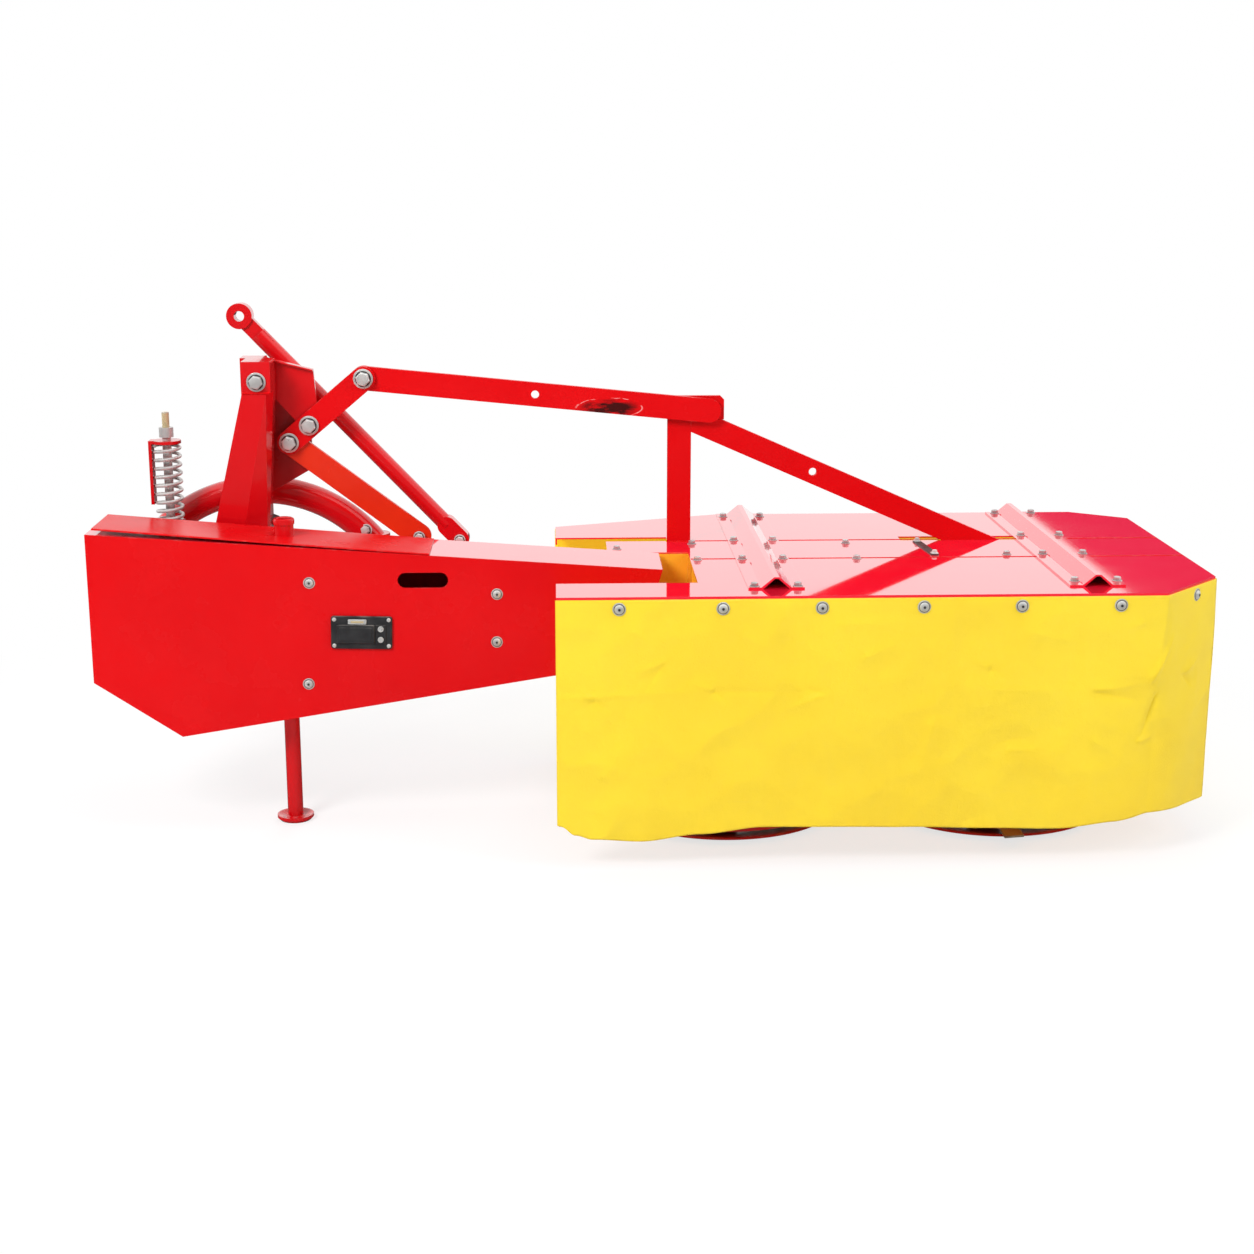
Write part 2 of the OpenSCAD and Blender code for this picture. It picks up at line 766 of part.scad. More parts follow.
// Link from the housing to the lever's short arm; its upper hole is wide for the arc of the lever
module lower_link() {
    color(orange_red) placed() difference() {
        plate_xz(bar_y, bar_t) bar_2d(link_low, lever_foot, bar_w);
        rod_y(link_low, pin_r + play, bar_y - over, bar_y + bar_t + over);
        rod_y(lever_foot, 1.4*pin_r, bar_y - over, bar_y + bar_t + over);
    }
}

// Tie bar from the lever's long arm to the slotted head of the lift frame
module tie_bar() {
    run = (tie_pin - lever_tip)/norm(tie_pin - lever_tip);
    color(red) placed() difference() {
        union() {
            plate_xz(bar_y, bar_t) bar_2d(lever_tip, tie_pin + tie_tail*run, bar_w);
            rod_y(tie_pin, pin_r, bar_y, upright_y + bar_t + side_play);
        }
        rod_y(lever_tip, pin_r + play, bar_y - over, bar_y + bar_t + over);
        rod_y(lever_tip + tie_hole_share*(tie_pin - lever_tip), pin_r, bar_y - over, bar_y + bar_t + over);
    }
}

hoop_radius = (hoop_half*hoop_half + hoop_rise*hoop_rise)/(2*hoop_rise);
hoop_arc = asin(hoop_half/hoop_radius);
hoop_leg_d = hoop_d + leg_extra;
hoop_leg_top = hoop_top - hoop_rise + hoop_d/2*sin(90 - hoop_arc) + leg_extra/2;

// Arched tube on two thicker legs
module hoop() {
    leg_low = hitch_z - hoop_leg_d/2;
    color(red) placed() {
        translate([hoop_x, hoop_y, hoop_top - hoop_radius]) rotate([90, 0, 0]) rotate(90 - hoop_arc)
            rotate_extrude(angle = 2*hoop_arc) translate([hoop_radius, 0]) circle(d = hoop_d);
        for (side = [-1, 1]) translate([hoop_x + side*hoop_half, hoop_y, leg_low])
            cylinder(h = hoop_leg_top - leg_low, d = hoop_leg_d);
    }
}

// Lug on the hoop's left leg that turns on the swing rod and carries the spring
module swing_lug() {
    seat = [hoop_x - hoop_half, hoop_y];
    run = seat - rod;
    web_w = 2*spring_d/3;
    color(red) placed() difference() {
        translate([rod[0], rod[1], lug_low]) {
            cylinder(h = lug_h, d = spring_d);
            rotate(atan2(run[1], run[0])) translate([0, -web_w/2, 0]) cube([norm(run), web_w, lug_web_h]);
            translate([0, 0, lug_h - wire_d]) plate_xz(-sheet_t, 2*sheet_t)
                polygon([[-spring_d/2 - wire_d/2, 0], [-flare_plate[0], -flare_plate[2]],
                    [flare_plate[1], -flare_plate[2]], [spring_d/2 + wire_d/2, 0]]);
        }
        translate([seat[0], seat[1], 0]) cylinder(h = hoop_top, d = hoop_leg_d);
        translate([rod[0], rod[1], lug_low - over]) cylinder(h = lug_h + 2*over, r = rod_r + play);
    }
}

module hitch_pins() {
    reach = hitch_span/2 - hoop_half;
    color(steel) placed() for (side = [-1, 1])
        translate([hoop_x + side*hoop_half, hoop_y, hitch_z]) difference() {
            rotate([0, side*90, 0]) {
                cylinder(h = reach, r = 2*hitch_pin_r);
                cylinder(h = reach + hitch_pin_len, r = hitch_pin_r);
            }
            translate([0, 0, -hoop_leg_d]) cylinder(h = 2*hoop_leg_d, d = hoop_leg_d);
        }
}

// Coil spring swept along a helix
coil_steps = 20;
coil_sides = 8;
function coil_point(i, k) =
    let (turn = 360*i/coil_steps, around = 360*k/coil_sides, mean_r = (spring_d - wire_d)/2,
        low = spring_low + wire_d/2 + face_play, high = spring_high - wire_d/2 - face_play,
        r = mean_r + wire_d/2*cos(around),
        z = low + (high - low)*i/(coil_steps*spring_turns) + wire_d/2*sin(around))
    [r*cos(turn), r*sin(turn), z];

module safety_spring() {
    rings = coil_steps*spring_turns;
    points = [for (i = [0 : rings]) for (k = [0 : coil_sides - 1]) coil_point(i, k)];
    walls = [for (i = [0 : rings - 1]) for (k = [0 : coil_sides - 1])
        let (n = (k + 1) % coil_sides, a = i*coil_sides, b = a + coil_sides) [a + k, b + k, b + n, a + n]];
    first = [for (k = [0 : coil_sides - 1]) k];
    last = [for (k = [coil_sides - 1 : -1 : 0]) rings*coil_sides + k];
    color(steel) placed() translate([rod[0], rod[1], 0])
        polyhedron(points, concat(walls, [first, last]), convexity = 10);
}

// Bracket that holds the spring's upper end
module spring_clamp() {
    back = spring_d/2 + face_play/2;
    color(red) placed() translate([rod[0], rod[1], 0]) difference() {
        union() {
            translate([-back - 2*sheet_t, -spring_d/4, spring_low + clamp_lift])
                cube([2*sheet_t, spring_d/2, spring_high - spring_low - clamp_lift + 2*sheet_t]);
            translate([0, 0, spring_high]) cylinder(h = 2*sheet_t, d = spring_d);
            translate([-back - 2*sheet_t, -spring_d/4, spring_high]) cube([back, spring_d/2, 2*sheet_t]);
        }
        translate([0, 0, spring_high - over]) cylinder(h = 2*sheet_t + 2*over, r = rod_r + play);
    }
}

// Tube stay with a flattened neck and an eye
module stay() {
    run = (stay_eye - stay_low)/norm(stay_eye - stay_low);
    neck = stay_eye - 2*eye_r*run;
    foot = stay_low + 0.8*bar_w*run;
    color(red) placed() difference() {
        union() {
            rod_xz(foot, neck, stay_y, stay_d/2);
            rod_y(stay_eye, eye_r, stay_y - eye_w/2, stay_y + eye_w/2);
            plate_xz(stay_y - eye_w/3, 2*eye_w/3) bar_2d(stay_eye, neck - eye_r*run, 0.9*stay_d);
            plate_xz(stay_y - eye_w/2, eye_w) bar_2d(stay_low, foot, 0.8*bar_w);
        }
        rod_y(stay_eye, eye_bore_r, stay_y - eye_w, stay_y + eye_w);
        rod_y(stay_low, pin_r + play, stay_y - eye_w, stay_y + eye_w);
    }
}

deck_rear();
deck_strip();
deck_front();
rib_left();
rib_right();
gear_beam();
hinge_tube();
lift_upright();
lift_brace();
curtain_rear();
curtain_end();
curtain_front();
drum_left();
drum_right();
knives_left();
knives_right();
dish_left();
dish_right();
housing_cover();
housing_body();
leg_sleeve();
drive_hub();
link_bracket();
stay_bracket();
input_shaft();
leg();
kingpost();
lever_bracket();
kingpost_gusset();
swing_arm();
swing_rod();
lever_plates();
lower_link();
tie_bar();
hoop();
swing_lug();
hitch_pins();
safety_spring();
spring_clamp();
stay();
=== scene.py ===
import math
import random

import bmesh
import bpy
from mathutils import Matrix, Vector, noise


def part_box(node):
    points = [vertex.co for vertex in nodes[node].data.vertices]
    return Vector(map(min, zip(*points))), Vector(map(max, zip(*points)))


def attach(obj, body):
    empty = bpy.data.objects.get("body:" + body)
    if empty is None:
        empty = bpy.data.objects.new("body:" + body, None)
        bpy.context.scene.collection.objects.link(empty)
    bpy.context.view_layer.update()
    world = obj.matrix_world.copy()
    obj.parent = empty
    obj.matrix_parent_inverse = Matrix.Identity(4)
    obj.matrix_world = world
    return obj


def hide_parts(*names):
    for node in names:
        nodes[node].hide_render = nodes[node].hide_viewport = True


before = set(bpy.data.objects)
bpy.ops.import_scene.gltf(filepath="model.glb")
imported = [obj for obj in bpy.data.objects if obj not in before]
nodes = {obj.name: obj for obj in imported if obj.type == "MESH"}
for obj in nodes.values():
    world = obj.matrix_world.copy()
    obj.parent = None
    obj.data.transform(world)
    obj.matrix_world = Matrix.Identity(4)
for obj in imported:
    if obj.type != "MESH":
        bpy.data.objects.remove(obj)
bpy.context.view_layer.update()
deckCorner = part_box("deck_rear")[0]  # rear left corner of the deck, zero of the layout
print("frame loaded,", len(nodes), "nodes")


def at(x, y, z):  # layout millimetres to the row frame
    return Vector((deckCorner.x + x / 1000, deckCorner.y + y / 1000, z / 1000))


# camera at the photograph's viewing angle, its place in layout millimetres
cameraSet = {"place": (0, -4350, 1650), "pitch": 13.822, "yaw": 2.104, "lens": 56.9}

cameraData = bpy.data.cameras.new("camera")
cameraData.lens = cameraSet["lens"]
cameraData.sensor_width = 36
camera = bpy.data.objects.new("camera", cameraData)
camera.location = at(*cameraSet["place"])
camera.rotation_euler = (math.radians(90 - cameraSet["pitch"]), 0, -math.radians(cameraSet["yaw"]))
bpy.context.scene.collection.objects.link(camera)
bpy.context.scene.camera = camera
bpy.context.scene.view_settings.view_transform = "Standard"


def addNode(tree, kind, **values):
    node = tree.nodes.new(kind)
    for key, value in values.items():
        setattr(node, key, value)
    return node


def mathNode(tree, operation, first, second, clamp=False):
    node = addNode(tree, "ShaderNodeMath", operation=operation, use_clamp=clamp)
    for socket, value in zip(node.inputs, (first, second)):
        if isinstance(value, (int, float)):
            socket.default_value = value
        else:
            tree.links.new(value, socket)
    return node.outputs[0]


def mixColour(tree, factor, first, second, blend="MIX"):
    node = addNode(tree, "ShaderNodeMix", data_type="RGBA", blend_type=blend)
    for socket, value in zip((node.inputs[0], node.inputs[6], node.inputs[7]), (factor, first, second)):
        if isinstance(value, (int, float)):
            socket.default_value = value
        elif isinstance(value, tuple):
            socket.default_value = (*value, 1)
        else:
            tree.links.new(value, socket)
    return node.outputs[2]


def ramp(tree, value, low, high, toLow=0.0, toHigh=1.0):
    node = addNode(tree, "ShaderNodeMapRange")
    tree.links.new(value, node.inputs["Value"])
    for name, number in (("From Min", low), ("From Max", high), ("To Min", toLow), ("To Max", toHigh)):
        node.inputs[name].default_value = number
    return node.outputs[0]


studioSet = {
    "fill": 0.375,  # world light on the object
    "backdrop": 1.0,  # what the camera and the gloss see
    "room": 0.10,  # dim room behind the camera, seen in the gloss only
    "sheen": (-0.15, 0.35),  # directions over which that room turns into the backdrop
    "floorRadius": 9,
    "floorTone": 0.88,
    "floorInGloss": 0.10,
    "floorFade": (1.3, 2.5),  # distances over which the floor turns white
    "floorShow": 0.27,  # share of the floor's own shade close to the mower
    "lampAim": (300, 400, 500),
    "lamps": [("keyLamp", (-2600, -2900, 3700), 1.6, 208), ("sideLamp", (3900, -1500, 2700), 2.0, 82),
              ("topLamp", (700, 500, 4300), 3.4, 76), ("backLamp", (200, 5600, 2900), 2.6, 130)],
    "reflectionCrimson": [(0.66, 0.03, 0.09), (0.74, 0.04, 0.11)],
    "card": [(2393, 5500, 1491), (2877, 5500, 1864), (3600, 5500, 2420), (6500, 5500, 2420), (6500, 5500, 900),
             (1626, 5500, 900)],  # crimson card that the deck's right end mirrors
}


def studioWorld():
    world = bpy.data.worlds.new("studio")
    bpy.context.scene.world = world
    world.use_nodes = True
    tree = world.node_tree
    tree.nodes.clear()
    seen = addNode(tree, "ShaderNodeLightPath")
    direct = mathNode(tree, "MAXIMUM", seen.outputs["Is Camera Ray"], seen.outputs["Is Glossy Ray"])
    direct = mathNode(tree, "MAXIMUM", direct, seen.outputs["Is Transmission Ray"])
    light = addNode(tree, "ShaderNodeBackground")
    light.inputs["Strength"].default_value = studioSet["fill"]
    white = addNode(tree, "ShaderNodeBackground")
    for node in (light, white):
        node.inputs["Color"].default_value = (1, 1, 1, 1)
    way = addNode(tree, "ShaderNodeSeparateXYZ")
    tree.links.new(addNode(tree, "ShaderNodeTexCoord").outputs["Generated"], way.inputs[0])
    ahead = mathNode(tree, "ADD", way.outputs["Y"], mathNode(tree, "MULTIPLY", way.outputs["Z"], 1.3))
    sheen = ramp(tree, ahead, *studioSet["sheen"], studioSet["room"], studioSet["backdrop"])
    plain = mathNode(tree, "MAXIMUM", seen.outputs["Is Camera Ray"], seen.outputs["Is Transmission Ray"])
    tree.links.new(mathNode(tree, "MAXIMUM", sheen, plain), white.inputs["Strength"])
    mix = addNode(tree, "ShaderNodeMixShader")
    tree.links.new(direct, mix.inputs[0])
    tree.links.new(light.outputs[0], mix.inputs[1])
    tree.links.new(white.outputs[0], mix.inputs[2])
    tree.links.new(mix.outputs[0], addNode(tree, "ShaderNodeOutputWorld").inputs[0])


def studioFloor():
    bpy.ops.mesh.primitive_circle_add(vertices=96, radius=studioSet["floorRadius"], fill_type="NGON",
                                      location=(0, 0, 0))
    floor = bpy.context.object
    floor.name = "floor"
    material = bpy.data.materials.new("paleFloor")
    material.use_nodes = True
    tree = material.node_tree
    tree.nodes.clear()
    seen = addNode(tree, "ShaderNodeLightPath")
    place = addNode(tree, "ShaderNodeTexCoord")
    reach = addNode(tree, "ShaderNodeVectorMath", operation="LENGTH")
    tree.links.new(place.outputs["Object"], reach.inputs[0])
    fade = ramp(tree, reach.outputs["Value"], *studioSet["floorFade"], 1 - studioSet["floorShow"], 1.0)
    matte = addNode(tree, "ShaderNodeBsdfDiffuse")
    tones = [(studioSet[key],) * 3 for key in ("floorTone", "floorInGloss")]
    shade = mixColour(tree, seen.outputs["Is Glossy Ray"], *tones)
    tree.links.new(shade, matte.inputs["Color"])
    glow = addNode(tree, "ShaderNodeEmission")
    glow.inputs["Color"].default_value = (1, 1, 1, 1)
    mix = addNode(tree, "ShaderNodeMixShader")
    tree.links.new(mathNode(tree, "MULTIPLY", seen.outputs["Is Camera Ray"], fade), mix.inputs[0])
    tree.links.new(matte.outputs[0], mix.inputs[1])
    tree.links.new(glow.outputs[0], mix.inputs[2])
    clear = addNode(tree, "ShaderNodeMixShader")  # seen from below, the floor is clear
    tree.links.new(addNode(tree, "ShaderNodeNewGeometry").outputs["Backfacing"], clear.inputs[0])
    tree.links.new(mix.outputs[0], clear.inputs[1])
    tree.links.new(addNode(tree, "ShaderNodeBsdfTransparent").outputs[0], clear.inputs[2])
    tree.links.new(clear.outputs[0], addNode(tree, "ShaderNodeOutputMaterial").inputs[0])
    floor.data.materials.append(material)


def studioLamps():
    for name, place, size, power in studioSet["lamps"]:
        data = bpy.data.lights.new(name, "AREA")
        data.size = size
        data.energy = power
        lamp = bpy.data.objects.new(name, data)
        lamp.location = at(*place)
        aim = at(*studioSet["lampAim"]) - lamp.location
        lamp.rotation_euler = aim.to_track_quat("-Z", "Y").to_euler()
        lamp.visible_glossy = False
        bpy.context.scene.collection.objects.link(lamp)


def mirrorCard():
    mesh = bpy.data.meshes.new("mirrorCard")
    mesh.from_pydata([at(*corner) for corner in studioSet["card"]], [], [tuple(range(len(studioSet["card"])))])
    card = bpy.data.objects.new("mirrorCard", mesh)
    bpy.context.scene.collection.objects.link(card)
    material, tree, shader = startMaterial("crimsonReflectionCard")
    reflectionCrimson = mixColour(tree, objectNoise(tree, 3.0), *studioSet["reflectionCrimson"])
    tree.links.new(reflectionCrimson, shader.inputs["Base Color"])
    shader.inputs["Roughness"].default_value = 0.9
    mesh.materials.append(material)
    # hidden from camera, diffuse light and shadows, the card only puts a painted crimson reflection on the deck's right
    # end
    for kind in ("visible_camera", "visible_diffuse", "visible_shadow", "visible_transmission"):
        setattr(card, kind, False)


studioWorld()
studioFloor()
studioLamps()
print("studio set")


def startGroup(name, inputs, outputs):
    group = bpy.data.node_groups.new(name, "ShaderNodeTree")
    for label, kind, value in inputs:
        socket = group.interface.new_socket(name=label, in_out="INPUT", socket_type=kind)
        socket.default_value = value
    for label, kind in outputs:
        group.interface.new_socket(name=label, in_out="OUTPUT", socket_type=kind)
    return group, addNode(group, "NodeGroupInput").outputs, addNode(group, "NodeGroupOutput").inputs


def objectNoise(tree, scale, detail=3.0, rough=0.55, stretch=None):
    place = addNode(tree, "ShaderNodeTexCoord").outputs["Object"]
    if stretch:
        mapping = addNode(tree, "ShaderNodeMapping")
        mapping.inputs["Scale"].default_value = stretch
        tree.links.new(place, mapping.inputs["Vector"])
        place = mapping.outputs[0]
    node = addNode(tree, "ShaderNodeTexNoise")
    tree.links.new(place, node.inputs["Vector"])
    if isinstance(scale, (int, float)):
        node.inputs["Scale"].default_value = scale
    else:
        tree.links.new(scale, node.inputs["Scale"])
    node.inputs["Detail"].default_value = detail
    node.inputs["Roughness"].default_value = rough
    return node.outputs[0]


colourKind, numberKind = "NodeSocketColor", "NodeSocketFloat"


def paintFilmGroup():
    group, given, made = startGroup("paintFilm",
        [("Colour", colourKind, (0.8, 0.0, 0.0, 1)), ("Deep", colourKind, (0.6, 0.0, 0.0, 1)),
         ("Patch Scale", numberKind, 3.0), ("Peel Scale", numberKind, 260.0)],
        [("Colour", colourKind), ("Peel", numberKind)])
    patch = ramp(group, objectNoise(group, given["Patch Scale"], 4), 0.38, 0.66)
    group.links.new(mixColour(group, patch, given["Colour"], given["Deep"]), made["Colour"])
    group.links.new(objectNoise(group, given["Peel Scale"], 1.5), made["Peel"])
    return group


def edgeRubGroup():
    group, given, made = startGroup("edgeRub",
        [("Width", numberKind, 0.003), ("Amount", numberKind, 0.5), ("Breakup", numberKind, 40.0)],
        [("Mask", numberKind)])
    bevel = addNode(group, "ShaderNodeBevel", samples=4)
    group.links.new(given["Width"], bevel.inputs["Radius"])
    geometry = addNode(group, "ShaderNodeNewGeometry")
    dot = addNode(group, "ShaderNodeVectorMath", operation="DOT_PRODUCT")
    group.links.new(bevel.outputs[0], dot.inputs[0])
    group.links.new(geometry.outputs["Normal"], dot.inputs[1])
    edge = ramp(group, dot.outputs["Value"], 0.985, 0.86)
    chips = ramp(group, objectNoise(group, given["Breakup"], 5, 0.7), 0.50, 0.68)
    mask = mathNode(group, "MULTIPLY", edge, chips)
    group.links.new(mathNode(group, "MULTIPLY", mask, given["Amount"], True), made["Mask"])
    return group


def settledDustGroup():
    group, given, made = startGroup("settledDust",
        [("Amount", numberKind, 0.3), ("Scale", numberKind, 9.0)], [("Mask", numberKind)])
    geometry = addNode(group, "ShaderNodeNewGeometry")
    split = addNode(group, "ShaderNodeSeparateXYZ")
    group.links.new(geometry.outputs["Normal"], split.inputs[0])
    upward = ramp(group, split.outputs["Z"], 0.2, 0.95)
    cloud = ramp(group, objectNoise(group, given["Scale"], 6, 0.65), 0.42, 0.75)
    mask = mathNode(group, "MULTIPLY", upward, cloud)
    group.links.new(mathNode(group, "MULTIPLY", mask, given["Amount"], True), made["Mask"])
    return group


def hairScratchGroup():
    group, given, made = startGroup("hairScratch",
        [("Scale", numberKind, 14.0), ("Amount", numberKind, 0.2)], [("Mask", numberKind)])
    streaks = objectNoise(group, given["Scale"], 8, 0.7, (1, 1, 14))
    other = objectNoise(group, given["Scale"], 8, 0.7, (12, 1, 1))
    lines = mathNode(group, "MAXIMUM", ramp(group, streaks, 0.66, 0.72), ramp(group, other, 0.67, 0.73))
    group.links.new(mathNode(group, "MULTIPLY", lines, given["Amount"], True), made["Mask"])
    return group


paintFilm, edgeRub = paintFilmGroup(), edgeRubGroup()
settledDust, hairScratch = settledDustGroup(), hairScratchGroup()


def placeGroup(tree, group, **values):
    node = addNode(tree, "ShaderNodeGroup", node_tree=group)
    for key, value in values.items():
        socket = node.inputs[key.replace("_", " ")]
        socket.default_value = (*value, 1) if isinstance(value, tuple) else value
    return node.outputs


def startMaterial(name):
    material = bpy.data.materials.new(name)
    material.use_nodes = True
    tree = material.node_tree
    tree.nodes.clear()
    shader = addNode(tree, "ShaderNodeBsdfPrincipled")
    tree.links.new(shader.outputs[0], addNode(tree, "ShaderNodeOutputMaterial").inputs[0])
    return material, tree, shader


def bumpInto(tree, shader, height, strength, distance, soften=0.0):
    bump = addNode(tree, "ShaderNodeBump")
    if soften:  # rounds the light on the edges
        bevel = addNode(tree, "ShaderNodeBevel", samples=4)
        bevel.inputs["Radius"].default_value = soften
        tree.links.new(bevel.outputs[0], bump.inputs["Normal"])
    bump.inputs["Strength"].default_value = strength
    bump.inputs["Distance"].default_value = distance
    tree.links.new(height, bump.inputs["Height"])
    tree.links.new(bump.outputs[0], shader.inputs["Normal"])


paintSet = {
    "redPaint": {"colour": (0.61, 0.003, 0.005), "deep": (0.57, 0.002, 0.004), "rough": (0.20, 0.32), "gloss": 0.12,
                 "dust": 0.02, "rub": 0.35, "scratch": 0.08, "coat": 0.0, "peel": 0.10},
    "glossRed": {"colour": (0.60, 0.003, 0.006), "deep": (0.55, 0.002, 0.005), "rough": (0.14, 0.24), "gloss": 0.5,
                 "dust": 0.02, "rub": 0.35, "scratch": 0.08, "coat": 0.7, "peel": 0.08},
    "deckPaint": {"colour": (0.86, 0.008, 0.036), "deep": (0.82, 0.006, 0.030), "rough": (0.03, 0.07), "gloss": 1.0,
                  "dust": 0.03, "rub": 0.30, "scratch": 0.05, "coat": 1.0, "peel": 0.02, "coatIor": 1.8},
    "orangePaint": {"colour": (0.68, 0.028, 0.006), "deep": (0.62, 0.018, 0.005), "rough": (0.18, 0.30), "gloss": 0.35,
                    "dust": 0.04, "rub": 0.35, "scratch": 0.12, "coat": 0.15, "peel": 0.10},
    # the gusset sits behind the lever; its darker red is painted shade
    "gussetShadeRed": {"colour": (0.44, 0.010, 0.012), "deep": (0.38, 0.007, 0.009), "rough": (0.25, 0.4), "gloss": 0.3,
                    "dust": 0.06, "rub": 0.5, "scratch": 0.15, "coat": 0.1, "peel": 0.10},
    # amber colour for the gear beam and hinge tube under the deck, the orange-yellow that shows through the deck's
    # openings
    "underDeckAmber": {"colour": (0.92, 0.44, 0.030), "deep": (0.86, 0.34, 0.020), "rough": (0.25, 0.45), "gloss": 0.4,
                   "dust": 0.10, "rub": 0.5, "scratch": 0.2, "coat": 0.1, "peel": 0.12},
    "drumPaint": {"colour": (0.50, 0.006, 0.010), "deep": (0.36, 0.004, 0.007), "rough": (0.22, 0.42), "gloss": 0.4,
                  "dust": 0.12, "rub": 0.75, "scratch": 0.30, "coat": 0.2, "peel": 0.12},
    "tiePaint": {"colour": (0.61, 0.003, 0.005), "deep": (0.57, 0.002, 0.004), "rough": (0.20, 0.32), "gloss": 0.12,
                 "dust": 0.02, "rub": 0.35, "scratch": 0.08, "coat": 0.0, "peel": 0.10,
                 "scuff": {"middle": (136, 600, 996), "half": (92, 40, 23), "smear": (0.050, 0.006, 0.006),
                           "bare": (0.72, 0.26, 0.25)}},
}
bareSteel = (0.33, 0.31, 0.29)
fieldDust = (0.62, 0.56, 0.47)


def scuffed(tree, colour, middle, half, smear, bare):
    # broken dark smear with a bare rim, its middle and half sizes in layout millimetres
    shift = addNode(tree, "ShaderNodeVectorMath", operation="SUBTRACT")
    tree.links.new(addNode(tree, "ShaderNodeTexCoord").outputs["Object"], shift.inputs[0])
    shift.inputs[1].default_value = at(*middle)
    share = addNode(tree, "ShaderNodeVectorMath", operation="DIVIDE")
    tree.links.new(shift.outputs[0], share.inputs[0])
    share.inputs[1].default_value = [value / 1000 for value in half]
    reach = addNode(tree, "ShaderNodeVectorMath", operation="LENGTH")
    tree.links.new(share.outputs[0], reach.inputs[0])
    wander = mathNode(tree, "MULTIPLY", objectNoise(tree, 14.0, 2), 0.9)
    reach = mathNode(tree, "ADD", reach.outputs["Value"], mathNode(tree, "SUBTRACT", wander, 0.45))
    streaks = ramp(tree, objectNoise(tree, 60.0, 4, 0.6, (0.25, 1, 1)), 0.36, 0.52)
    colour = mixColour(tree, mathNode(tree, "MULTIPLY", ramp(tree, reach, 1.05, 0.55), streaks, True), colour, smear)
    rim = mathNode(tree, "MULTIPLY", ramp(tree, reach, 1.00, 1.02), ramp(tree, reach, 1.08, 1.05))
    chips = ramp(tree, objectNoise(tree, 30.0, 2), 0.46, 0.52)
    return mixColour(tree, mathNode(tree, "MULTIPLY", rim, chips, True), colour, bare)


def makePaint(name):
    look = paintSet[name]
    material, tree, shader = startMaterial(name)
    film = placeGroup(tree, paintFilm, Colour=look["colour"], Deep=look["deep"])
    rub = placeGroup(tree, edgeRub, Amount=look["rub"])["Mask"]
    dust = placeGroup(tree, settledDust, Amount=look["dust"])["Mask"]
    scratch = placeGroup(tree, hairScratch, Amount=look["scratch"])["Mask"]
    colour = mixColour(tree, scratch, film["Colour"], tuple(min(1, c * 1.2 + 0.05) for c in look["colour"]))
    colour = mixColour(tree, dust, colour, fieldDust)
    colour = mixColour(tree, rub, colour, bareSteel)
    if "scuff" in look:
        colour = scuffed(tree, colour, **look["scuff"])
    tree.links.new(colour, shader.inputs["Base Color"])
    smear = ramp(tree, objectNoise(tree, 7.0, 5), 0.35, 0.7, *look["rough"])
    worn = mathNode(tree, "MAXIMUM", mathNode(tree, "MULTIPLY", rub, 0.45), mathNode(tree, "MULTIPLY", dust, 0.8))
    tree.links.new(mathNode(tree, "ADD", smear, worn, True), shader.inputs["Roughness"])
    shader.inputs["Specular IOR Level"].default_value = look["gloss"]
    shader.inputs["Coat Weight"].default_value = look["coat"]
    shader.inputs["Coat Roughness"].default_value = 0.04
    shader.inputs["Coat IOR"].default_value = look.get("coatIor", 1.5)
    bumpInto(tree, shader, film["Peel"], look["peel"], 0.0006, 0.0016)
    return material


metalSet = {
    "zincSteel": {"colour": (0.74, 0.74, 0.72), "deep": (0.54, 0.54, 0.53), "rough": (0.24, 0.42), "rust": 0.04,
                  "metal": 0.5},
    "boltSteel": {"colour": (0.64, 0.64, 0.63), "deep": (0.44, 0.44, 0.44), "rough": (0.22, 0.38), "rust": 0.06,
                  "metal": 0.6},
    "knifeSteel": {"colour": (0.46, 0.42, 0.38), "deep": (0.32, 0.26, 0.21), "rough": (0.32, 0.55), "rust": 0.35,
                   "metal": 0.6},
    "brassStud": {"colour": (0.70, 0.56, 0.32), "deep": (0.58, 0.46, 0.26), "rough": (0.25, 0.40), "rust": 0.05,
                  "metal": 0.4},
    # dark steel for the dark parts, also the painted shade rings and socket marks on bolt heads
    "darkSteelAndShade": {"colour": (0.13, 0.13, 0.13), "deep": (0.08, 0.07, 0.07), "rough": (0.35, 0.6), "rust": 0.12,
                  "metal": 0.8},
}
rustBrown = (0.20, 0.075, 0.025)


def makeMetal(name):
    look = metalSet[name]
    material, tree, shader = startMaterial(name)
    film = placeGroup(tree, paintFilm, Colour=look["colour"], Deep=look["deep"], Patch_Scale=22.0, Peel_Scale=420.0)
    scratch = placeGroup(tree, hairScratch, Scale=30.0, Amount=0.35)["Mask"]
    rust = mathNode(tree, "MULTIPLY", ramp(tree, objectNoise(tree, 34.0, 6, 0.7), 0.5, 0.72), look["rust"])
    colour = mixColour(tree, scratch, film["Colour"], tuple(min(1, c * 1.35) for c in look["colour"]))
    tree.links.new(mixColour(tree, rust, colour, rustBrown), shader.inputs["Base Color"])
    smear = ramp(tree, objectNoise(tree, 26.0, 5), 0.35, 0.7, *look["rough"])
    rough = mathNode(tree, "ADD", smear, mathNode(tree, "MULTIPLY", rust, 0.5), True)
    tree.links.new(rough, shader.inputs["Roughness"])
    tree.links.new(mathNode(tree, "SUBTRACT", look["metal"], rust, True), shader.inputs["Metallic"])
    bumpInto(tree, shader, film["Peel"], 0.08, 0.0004)
    return material


curtainSet = {
    "colour": (0.98, 0.73, 0.026), "deep": (0.95, 0.67, 0.020), "worn": (0.88, 0.62, 0.08),
    "threads": 190.0, "dents": 7.0, "dentBlur": 0.25, "drift": 3.5, "driftReach": 0.30,
    "insideGlow": 0.45,  # daylight that comes through the cloth to its inner face
}


